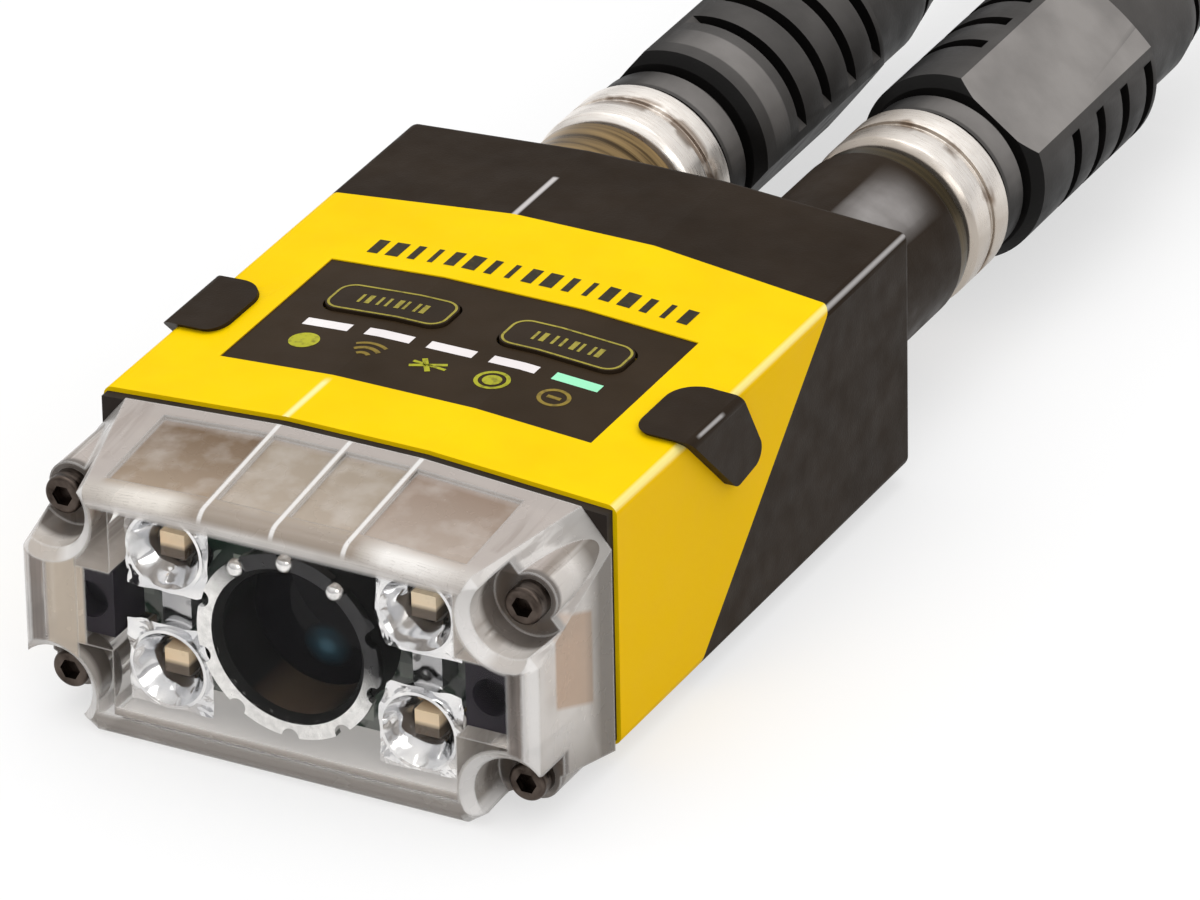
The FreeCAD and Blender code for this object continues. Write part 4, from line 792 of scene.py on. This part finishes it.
def tie_fabric():
    """Woven hook-and-loop tape."""
    material = moulded(
        "tie_fabric", (0.010, 0.010, 0.011), (0.030, 0.030, 0.032), (0.8, 0.95), 2400.0, 0.05 * MM
    )
    tree = material.node_tree
    weave = add(tree, "TexChecker", {"Scale": 1600.0})
    feed(tree, weave.inputs["Vector"], place_of(tree))
    retone(material, product(tree, weave.outputs["Fac"], 0.5), (0.055, 0.055, 0.058))
    return material


MATERIALS["core_jacket"] = core_jacket()
MATERIALS["tie_fabric"] = tie_fabric()


# Floor, studio light and lamps
FLOOR_WHITE = 0.6
FLOOR_DROP = 0.05 * MM


def make_floor():
    """A white floor that keeps shadows; what it throws back on the object is dimmed."""
    mesh = bpy.data.meshes.new("floor")
    reach = 4.0
    corners = [(x * reach, y * reach, -FLOOR_DROP) for x, y in ((-1, -1), (1, -1), (1, 1), (-1, 1))]
    mesh.from_pydata(corners, [], [(0, 1, 2, 3)])
    floor = bpy.data.objects.new("floor", mesh)
    scene.collection.objects.link(floor)
    material, tree, shader = new_material("floor", roughness=0.9, specular_ior_level=0.0)
    paths = add(tree, "LightPath").outputs
    shown = largest(tree, paths["Is Camera Ray"], paths["Is Glossy Ray"], paths["Is Transmission Ray"])
    feed(tree, shader.inputs["Base Color"], blend(tree, shown, (0.50, 0.50, 0.50), (0.97, 0.97, 0.97)))
    white = add(tree, "Emission", {"Strength": 1.0})
    mix = add(tree, "MixShader")
    feed(tree, mix.inputs["Fac"], product(tree, shown, FLOOR_WHITE))
    feed(tree, mix.inputs[1], shader.outputs[0])
    feed(tree, mix.inputs[2], white.outputs[0])
    feed(tree, tree.nodes["Material Output"].inputs["Surface"], mix.outputs[0])
    mesh.materials.append(material)


def make_world():
    """A plain studio: bright overhead, dimmer towards the horizon."""
    world = bpy.data.worlds.new("world")
    world.use_nodes = True
    tree = world.node_tree
    height = split(tree, add(tree, "TexCoord").outputs["Generated"])["Z"]
    tone = blend(tree, ramp(tree, height, 0.0, 0.8), (0.46, 0.46, 0.47), (0.95, 0.95, 0.95))
    background = tree.nodes["Background"]
    feed(tree, background.inputs["Color"], tone)
    background.inputs["Strength"].default_value = 1.0
    scene.world = world


def lamp(name, place, target, size, power):
    """An area lamp at a place, aimed at a target."""
    data = bpy.data.lights.new(name, "AREA")
    data.shape = "RECTANGLE"
    data.size, data.size_y = size
    data.energy = power
    thing = bpy.data.objects.new(name, data)
    thing.location = place
    thing.rotation_euler = (Vector(target) - Vector(place)).to_track_quat("-Z", "Y").to_euler()
    scene.collection.objects.link(thing)


make_floor()
make_world()
lamp("overhead", (-0.10, 0.10, 0.9), (0, 0.02, 0), (0.8, 0.6), 2.2)
lamp("front_right", (0.7, -0.5, 0.5), (0, 0, 0), (0.5, 0.5), 1.5)


# Solids: a material by slot, and softened edges where the mouldings have them
def soften(name, width):
    """Rounds a moulding's sharp edges."""
    thing = nodes[name]
    weld = thing.modifiers.new("weld", "WELD")
    weld.merge_threshold = 0.0005 * MM
    bevel = thing.modifiers.new("bevel", "BEVEL")
    bevel.width = width
    bevel.segments = 3
    bevel.limit_method = "ANGLE"
    bevel.angle_limit = math.radians(25)
    bevel.harden_normals = True


for name, thing in nodes.items():
    thing.data.materials.clear()
    thing.data.materials.append(MATERIALS[slots[name]])
SOFT_EDGES = {
    "front_housing": 0.18,
    "rear_housing": 0.18,
    "right_corner_cap": 0.15,
    "left_corner_cap": 0.15,
    "tune_key": 0.08,
    "trigger_key": 0.08,
    "network_plug": 0.15,
    "power_plug": 0.15,
    "network_nut": 0.12,
    "power_nut": 0.12,
}
for name, width in SOFT_EDGES.items():
    soften(name, width * MM)


# Prints: thin ribbons laid on the surface under them
PRINT_LIFT = 0.02
STEP = 0.4


def solid_tree(name):
    """A solid's faces, ready for ray casts."""
    mesh = nodes[name].data
    places = [vertex.co.copy() for vertex in mesh.vertices]
    return BVHTree.FromPolygons(places, [tuple(face.vertices) for face in mesh.polygons])


def arc(x, y, radius, start=0.0, sweep=360.0, count=28):
    """Points along an arc or a whole circle."""
    angles = [math.radians(start + sweep * step / count) for step in range(count + 1)]
    return [(x + radius * math.cos(angle), y + radius * math.sin(angle)) for angle in angles]


def rounded_outline(x, y, width, height, radius):
    """A closed path round a rectangle with round corners."""
    path = []
    for number, (across, along) in enumerate(((1, 1), (-1, 1), (-1, -1), (1, -1))):
        middle_x = x + across * (width / 2 - radius)
        middle_y = y + along * (height / 2 - radius)
        path += arc(middle_x, middle_y, radius, 90 * number, 90, 8)
    return path + path[:1]


def ribbon(path, width):
    """Quads of a ribbon along a path, in steps short enough to follow the roof's facets."""
    fine = [path[0]]
    for start, end in zip(path, path[1:]):
        count = max(1, math.ceil(math.dist(start, end) / STEP))
        for step in range(1, count + 1):
            share = step / count
            fine.append((start[0] + share * (end[0] - start[0]), start[1] + share * (end[1] - start[1])))
    closed = math.dist(fine[0], fine[-1]) < 1e-6
    rims = []
    for index, (x, y) in enumerate(fine):
        before = fine[index - 1] if index else (fine[-2] if closed else fine[0])
        after = fine[index + 1] if index + 1 < len(fine) else (fine[1] if closed else fine[-1])
        length = math.dist(before, after)
        across = (after[1] - before[1]) / length * width / 2
        along = (before[0] - after[0]) / length * width / 2
        rims.append(((x + across, y + along), (x - across, y - along)))
    return [(first[1], first[0], second[0], second[1]) for first, second in zip(rims, rims[1:])]


def lay_print(name, ground, body, material, strokes):
    """A print of strokes on a solid's upper face."""
    tree = solid_tree(ground)
    places = []
    faces = []
    for path, width in strokes:
        for quad in ribbon(path, width):
            corners = []
            for x, y in quad:
                hit = tree.ray_cast(Vector((x * MM, y * MM, 0.05)), Vector((0, 0, -1)))[0]
                corners.append((x * MM, y * MM, hit.z + PRINT_LIFT * MM))
            faces.append(tuple(range(len(places), len(places) + 4)))
            places += corners
    mesh = bpy.data.meshes.new(name)
    mesh.from_pydata(places, [], faces)
    mesh.materials.append(material)
    thing = bpy.data.objects.new(name, mesh)
    scene.collection.objects.link(thing)
    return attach(thing, body)


def print_ink(name, dark, light, worn):
    """Screen ink, uneven and a little worn."""
    material = moulded(name, dark, light, (0.40, 0.55), 5000.0, 0.003 * MM, specular_ior_level=0.15)
    tree = material.node_tree
    retone(material, ramp(tree, noise(tree, 1800.0, 4.0), 0.52, 0.70, 0.0, 0.6), worn)
    return material


GREEN_INK = print_ink("icon_ink", (0.34, 0.34, 0.014), (0.46, 0.45, 0.020), (0.10, 0.08, 0.015))
OCHRE_INK = print_ink("ochre_ink", (0.22, 0.15, 0.020), (0.31, 0.22, 0.030), (0.08, 0.055, 0.015))
LINE_INK = print_ink("line_ink", (0.30, 0.25, 0.035), (0.40, 0.34, 0.05), (0.09, 0.07, 0.02))
DARK_INK = print_ink("dark_ink", (0.020, 0.015, 0.006), (0.034, 0.026, 0.010), (0.07, 0.05, 0.01))
ICON_Y = -16.5
ICON_X = (-10.8, -5.6, -0.4, 4.9, 10.0)
green_icons = [
    (arc(ICON_X[0], ICON_Y, 0.60), 1.18),
    ([(ICON_X[2] - 1.3, ICON_Y - 0.6), (ICON_X[2] + 1.3, ICON_Y + 0.6)], 0.36),
    ([(ICON_X[2] - 0.7, ICON_Y + 0.8), (ICON_X[2] + 0.4, ICON_Y - 0.9)], 0.42),
    ([(ICON_X[2] - 1.3, ICON_Y + 0.15), (ICON_X[2] + 1.5, ICON_Y - 0.15)], 0.30),
    (arc(ICON_X[3], ICON_Y, 1.22), 0.32),
    (arc(ICON_X[3], ICON_Y, 0.38), 0.74),
]
ochre_icons = [
    (arc(ICON_X[1], ICON_Y - 1.0, 0.65, 40, 100, 8), 0.36),
    (arc(ICON_X[1], ICON_Y - 1.0, 1.45, 45, 90, 10), 0.38),
    (arc(ICON_X[1], ICON_Y - 1.0, 2.2, 55, 70, 10), 0.32),
    (arc(ICON_X[4], ICON_Y, 1.12), 0.32),
    ([(ICON_X[4] - 0.55, ICON_Y), (ICON_X[4] + 0.55, ICON_Y)], 0.4),
]
lay_print("panel_icons", "indicator_panel", "reader", GREEN_INK, green_icons)
lay_print("panel_ochre_icons", "indicator_panel", "reader", OCHRE_INK, ochre_icons)

KEY_X = 7.3
KEY_Y = -9.3
KEY_WIDTH = 9.75
KEY_HEIGHT = 3.75
KEY_ROUND = 1.2
KEY_LINE = 0.20
MARK_BARS = (-2.6, -1.9, -1.0, -0.3, 0.6, 1.2, 2.1, 2.7)
MARK_HALF = 0.65
MARK_WIDE = 0.42
MARK_THIN = 0.24


def key_strokes(x):
    """A rounded outline with a row of plain bars inside."""
    strokes = [(rounded_outline(x, KEY_Y, KEY_WIDTH, KEY_HEIGHT, KEY_ROUND), KEY_LINE)]
    for number, offset in enumerate(MARK_BARS):
        width = MARK_WIDE if number % 3 == 1 else MARK_THIN
        strokes.append(([(x + offset, KEY_Y - MARK_HALF), (x + offset, KEY_Y + MARK_HALF)], width))
    return strokes


lay_print("tune_key_print", "tune_key", "tune_key", LINE_INK, key_strokes(-KEY_X))
lay_print("trigger_key_print", "trigger_key", "trigger_key", LINE_INK, key_strokes(KEY_X))

STRIP_BARS = 17
STRIP_HALF = 13.0
STRIP_Y = (-2.1, 0.1)
STRIP_WIDTHS = (0.9, 0.45, 0.65, 1.1)
strip = []
for number in range(STRIP_BARS):
    x = -STRIP_HALF + 2 * STRIP_HALF * number / (STRIP_BARS - 1)
    width = STRIP_WIDTHS[number * 3 % len(STRIP_WIDTHS)]
    strip.append(([(x, STRIP_Y[0]), (x, STRIP_Y[1])], width))
lay_print("strip_bars", "front_housing", "reader", DARK_INK, strip)


# Hammered silver trims round the lamp bowls
TRIM_HALF = 3.45
TRIM_FRONT = -38.1
TRIM_SWELL = 0.35
RING_CLEAR = 7.75
TRIM_TURNS = 72
TRIM_ROWS = 4


def trim_reach(x, z, angle):
    """How far a trim runs from a bowl's middle at an angle: to its square border or the lens ring."""
    across = math.cos(angle)
    rise = math.sin(angle)
    reach = TRIM_HALF / max(abs(across), abs(rise))
    toward = x * across + (z - LENS_AXIS) * rise
    spare = toward ** 2 - (x ** 2 + (z - LENS_AXIS) ** 2 - RING_CLEAR ** 2)
    if toward < 0 < spare:
        reach = min(reach, -toward - math.sqrt(spare))
    return max(reach, BOWL_RADIUS + 0.02)


def add_trims(name):
    """Plates with a square border round each bowl, dented as hammered foil is."""
    places = []
    faces = []
    for side in (-1, 1):
        for z in LAMP_Z:
            x = side * LAMP_X
            first = len(places)
            for turn in range(TRIM_TURNS):
                angle = 2 * math.pi * turn / TRIM_TURNS
                reach = trim_reach(x, z, angle)
                for row in range(TRIM_ROWS):
                    away = BOWL_RADIUS + (reach - BOWL_RADIUS) * row / (TRIM_ROWS - 1)
                    spot = Vector((x + away * math.cos(angle), TRIM_FRONT, z + away * math.sin(angle)))
                    spot.y -= TRIM_SWELL * noise_field.noise(0.8 * spot)
                    places.append(spot * MM)
            for turn in range(TRIM_TURNS):
                here = first + turn * TRIM_ROWS
                after = first + (turn + 1) % TRIM_TURNS * TRIM_ROWS
                for row in range(TRIM_ROWS - 1):
                    faces.append((here + row, here + row + 1, after + row + 1, after + row))
    mesh = bpy.data.meshes.new(name)
    mesh.from_pydata(places, [], faces)
    mesh.materials.append(MATERIALS["reflector_silver"])
    thing = bpy.data.objects.new(name, mesh)
    scene.collection.objects.link(thing)
    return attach(thing, "reader")


add_trims("lamp_trims")


# Bright studs in the upper notches of the lens ring
STUD_SILVER = metal(
    "stud_silver", (0.74, 0.74, 0.74), (0.95, 0.95, 0.94), (0.10, 0.24), 1800.0, (1, 1, 1), 0.02 * MM
)
STUD_ANGLES = (54, 90, 126)
STUD_CIRCLE = 6.9
STUD_FRONT = -38.9
STUD_RADIUS = 0.75
STUD_ROWS = 5
STUD_COLUMNS = 14


def add_studs(name):
    """Half balls on a circle round the lens."""
    mesh = bpy.data.meshes.new(name)
    places = []
    faces = []
    rows = STUD_ROWS
    columns = STUD_COLUMNS
    for angle in STUD_ANGLES:
        turn = math.radians(angle)
        across = STUD_CIRCLE * math.cos(turn)
        rise = STUD_CIRCLE * math.sin(turn)
        middle = Vector((across, STUD_FRONT, LENS_AXIS + rise))
        first = len(places)
        for row in range(rows):
            tilt = math.pi / 2 * row / rows
            for column in range(columns):
                round_turn = 2 * math.pi * column / columns
                flat = math.cos(tilt)
                offset = Vector((math.cos(round_turn) * flat, -math.sin(tilt), math.sin(round_turn) * flat))
                places.append((middle + STUD_RADIUS * offset) * MM)
        places.append((middle + Vector((0, -STUD_RADIUS, 0))) * MM)
        for row in range(rows - 1):
            for column in range(columns):
                here = first + row * columns
                after = (column + 1) % columns
                faces.append((here + column, here + columns + column, here + columns + after, here + after))
        last = first + (rows - 1) * columns
        for column in range(columns):
            faces.append((last + column, len(places) - 1, last + (column + 1) % columns))
    mesh.from_pydata(places, [], faces)
    for face in mesh.polygons:
        face.use_smooth = True
    mesh.materials.append(STUD_SILVER)
    thing = bpy.data.objects.new(name, mesh)
    scene.collection.objects.link(thing)
    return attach(thing, "reader")


add_studs("ring_studs")

# Cords: the leads' points are those of the solids, and the hanks' turns are worked out row by row
CORD_RADIUS = 3.0
HANK_NEAR = 152.0
HANK_FAR = 195.0
ARC_POINTS = 8
STRAIGHT_POINTS = 3
SPLINE_PULL = 1.02


def straight(x, height, start, end):
    """Points along one straight side of the hank."""
    shares = [(step + 0.5) / STRAIGHT_POINTS for step in range(STRAIGHT_POINTS)]
    return [(x, start + share * (end - start), height) for share in shares]


def bend(start, end, along, way, heights, hump=0.0):
    """Half a turn between two sides, out along Y by a way, from a height to another over a hump."""
    middle = (start + end) / 2
    side = (start - end) / 2 * SPLINE_PULL
    points = []
    for step in range(ARC_POINTS):
        share = (step + 0.5) / ARC_POINTS
        angle = math.pi * share
        height = heights[0] + share * (heights[1] - heights[0]) + hump * math.sin(angle)
        points.append((middle + side * math.cos(angle), along + way * abs(side) * math.sin(angle), height))
    return points


def loop(half, height, way):
    """One turn of the hank up to its near bend, from the side where the cord comes in."""
    side = half * way
    points = straight(side, height, HANK_NEAR, HANK_FAR)
    points += bend(side, -side, HANK_FAR, 1, (height, height))
    return points + straight(-side, height, HANK_FAR, HANK_NEAR)


def turns(rows, way):
    """Turns through rows of half width, height and hump, each joined to the next by its near bend."""
    points = []
    for (half, height, hump), (after, after_height, _) in zip(rows, rows[1:]):
        points += loop(half, height, way)
        points += bend(-way * half, way * after, HANK_NEAR, -1, (height, after_height), hump)
    return points


def cord_curve(name, points):
    """A round cord that follows its points smoothly."""
    data = bpy.data.curves.new(name, "CURVE")
    data.dimensions = "3D"
    data.bevel_depth = CORD_RADIUS * MM
    data.bevel_resolution = 6
    data.resolution_u = 8
    data.use_fill_caps = True
    spline = data.splines.new("NURBS")
    spline.points.add(len(points) - 1)
    for point, place in zip(spline.points, points):
        point.co = (*(value * MM for value in place), 1)
    spline.order_u = 3
    spline.use_endpoint_u = True
    data.materials.append(MATERIALS["cord_jacket"])
    thing = bpy.data.objects.new(name, data)
    scene.collection.objects.link(thing)
    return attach(thing, "reader")


NETWORK_EXIT = (10.6, 90.6, 10.8)
POWER_EXIT = (-10.6, 85.0, 10.8)
NETWORK_ROWS = ((24, 15.9, -0.3), (18, 15.9, 0.8), (18, 21.9, 2.8), (24, 21.9, 5.0), (21, 28.9, 0))
POWER_ROWS = ((24, 3.9, -0.8), (24, 9.9, 0.3), (18, 9.9, -0.8), (18, 3.9, 0))
network_points = [
    NETWORK_EXIT, (10.6, 104.6, 10.8), (13.2, 118.6, 13.6), (18.2, 132, 16.4), (22.6, 145, 16.6)
]
network_points += turns(NETWORK_ROWS, 1)
top_half, top_height, _ = NETWORK_ROWS[-1]
network_points += straight(top_half, top_height, HANK_NEAR, HANK_FAR)
network_points += bend(top_half, -top_half, HANK_FAR, 1, (top_height, top_height))
network_points += [(-21, 190, 29.0), (-21, 183.5, 29.0), (-21, 171.5, 29.0)]
power_points = [POWER_EXIT, (-10.6, 100, 10.8), (-13.2, 116, 7.4), (-18.4, 131, 4.4), (-22.6, 145, 3.9)]
power_points += turns(POWER_ROWS, -1)
low_half, low_height, _ = POWER_ROWS[-1]
power_points += loop(low_half, low_height, -1)
power_points += bend(low_half, -14, HANK_NEAR + 1, -1, (3.7, 3.0))
power_points += [(-14.0, 158, 3.0), (-12.3, 166, 3.0), (-12, 171.5, 3.0), (-12, 177, 3.0)]
network_cord = cord_curve("network_cord", network_points)
power_cord = cord_curve("power_cord", power_points)
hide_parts("network_cord_lead", "network_cord_hank", "network_cord_tail")
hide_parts("power_cord_lead", "power_cord_hank", "power_cord_tail")
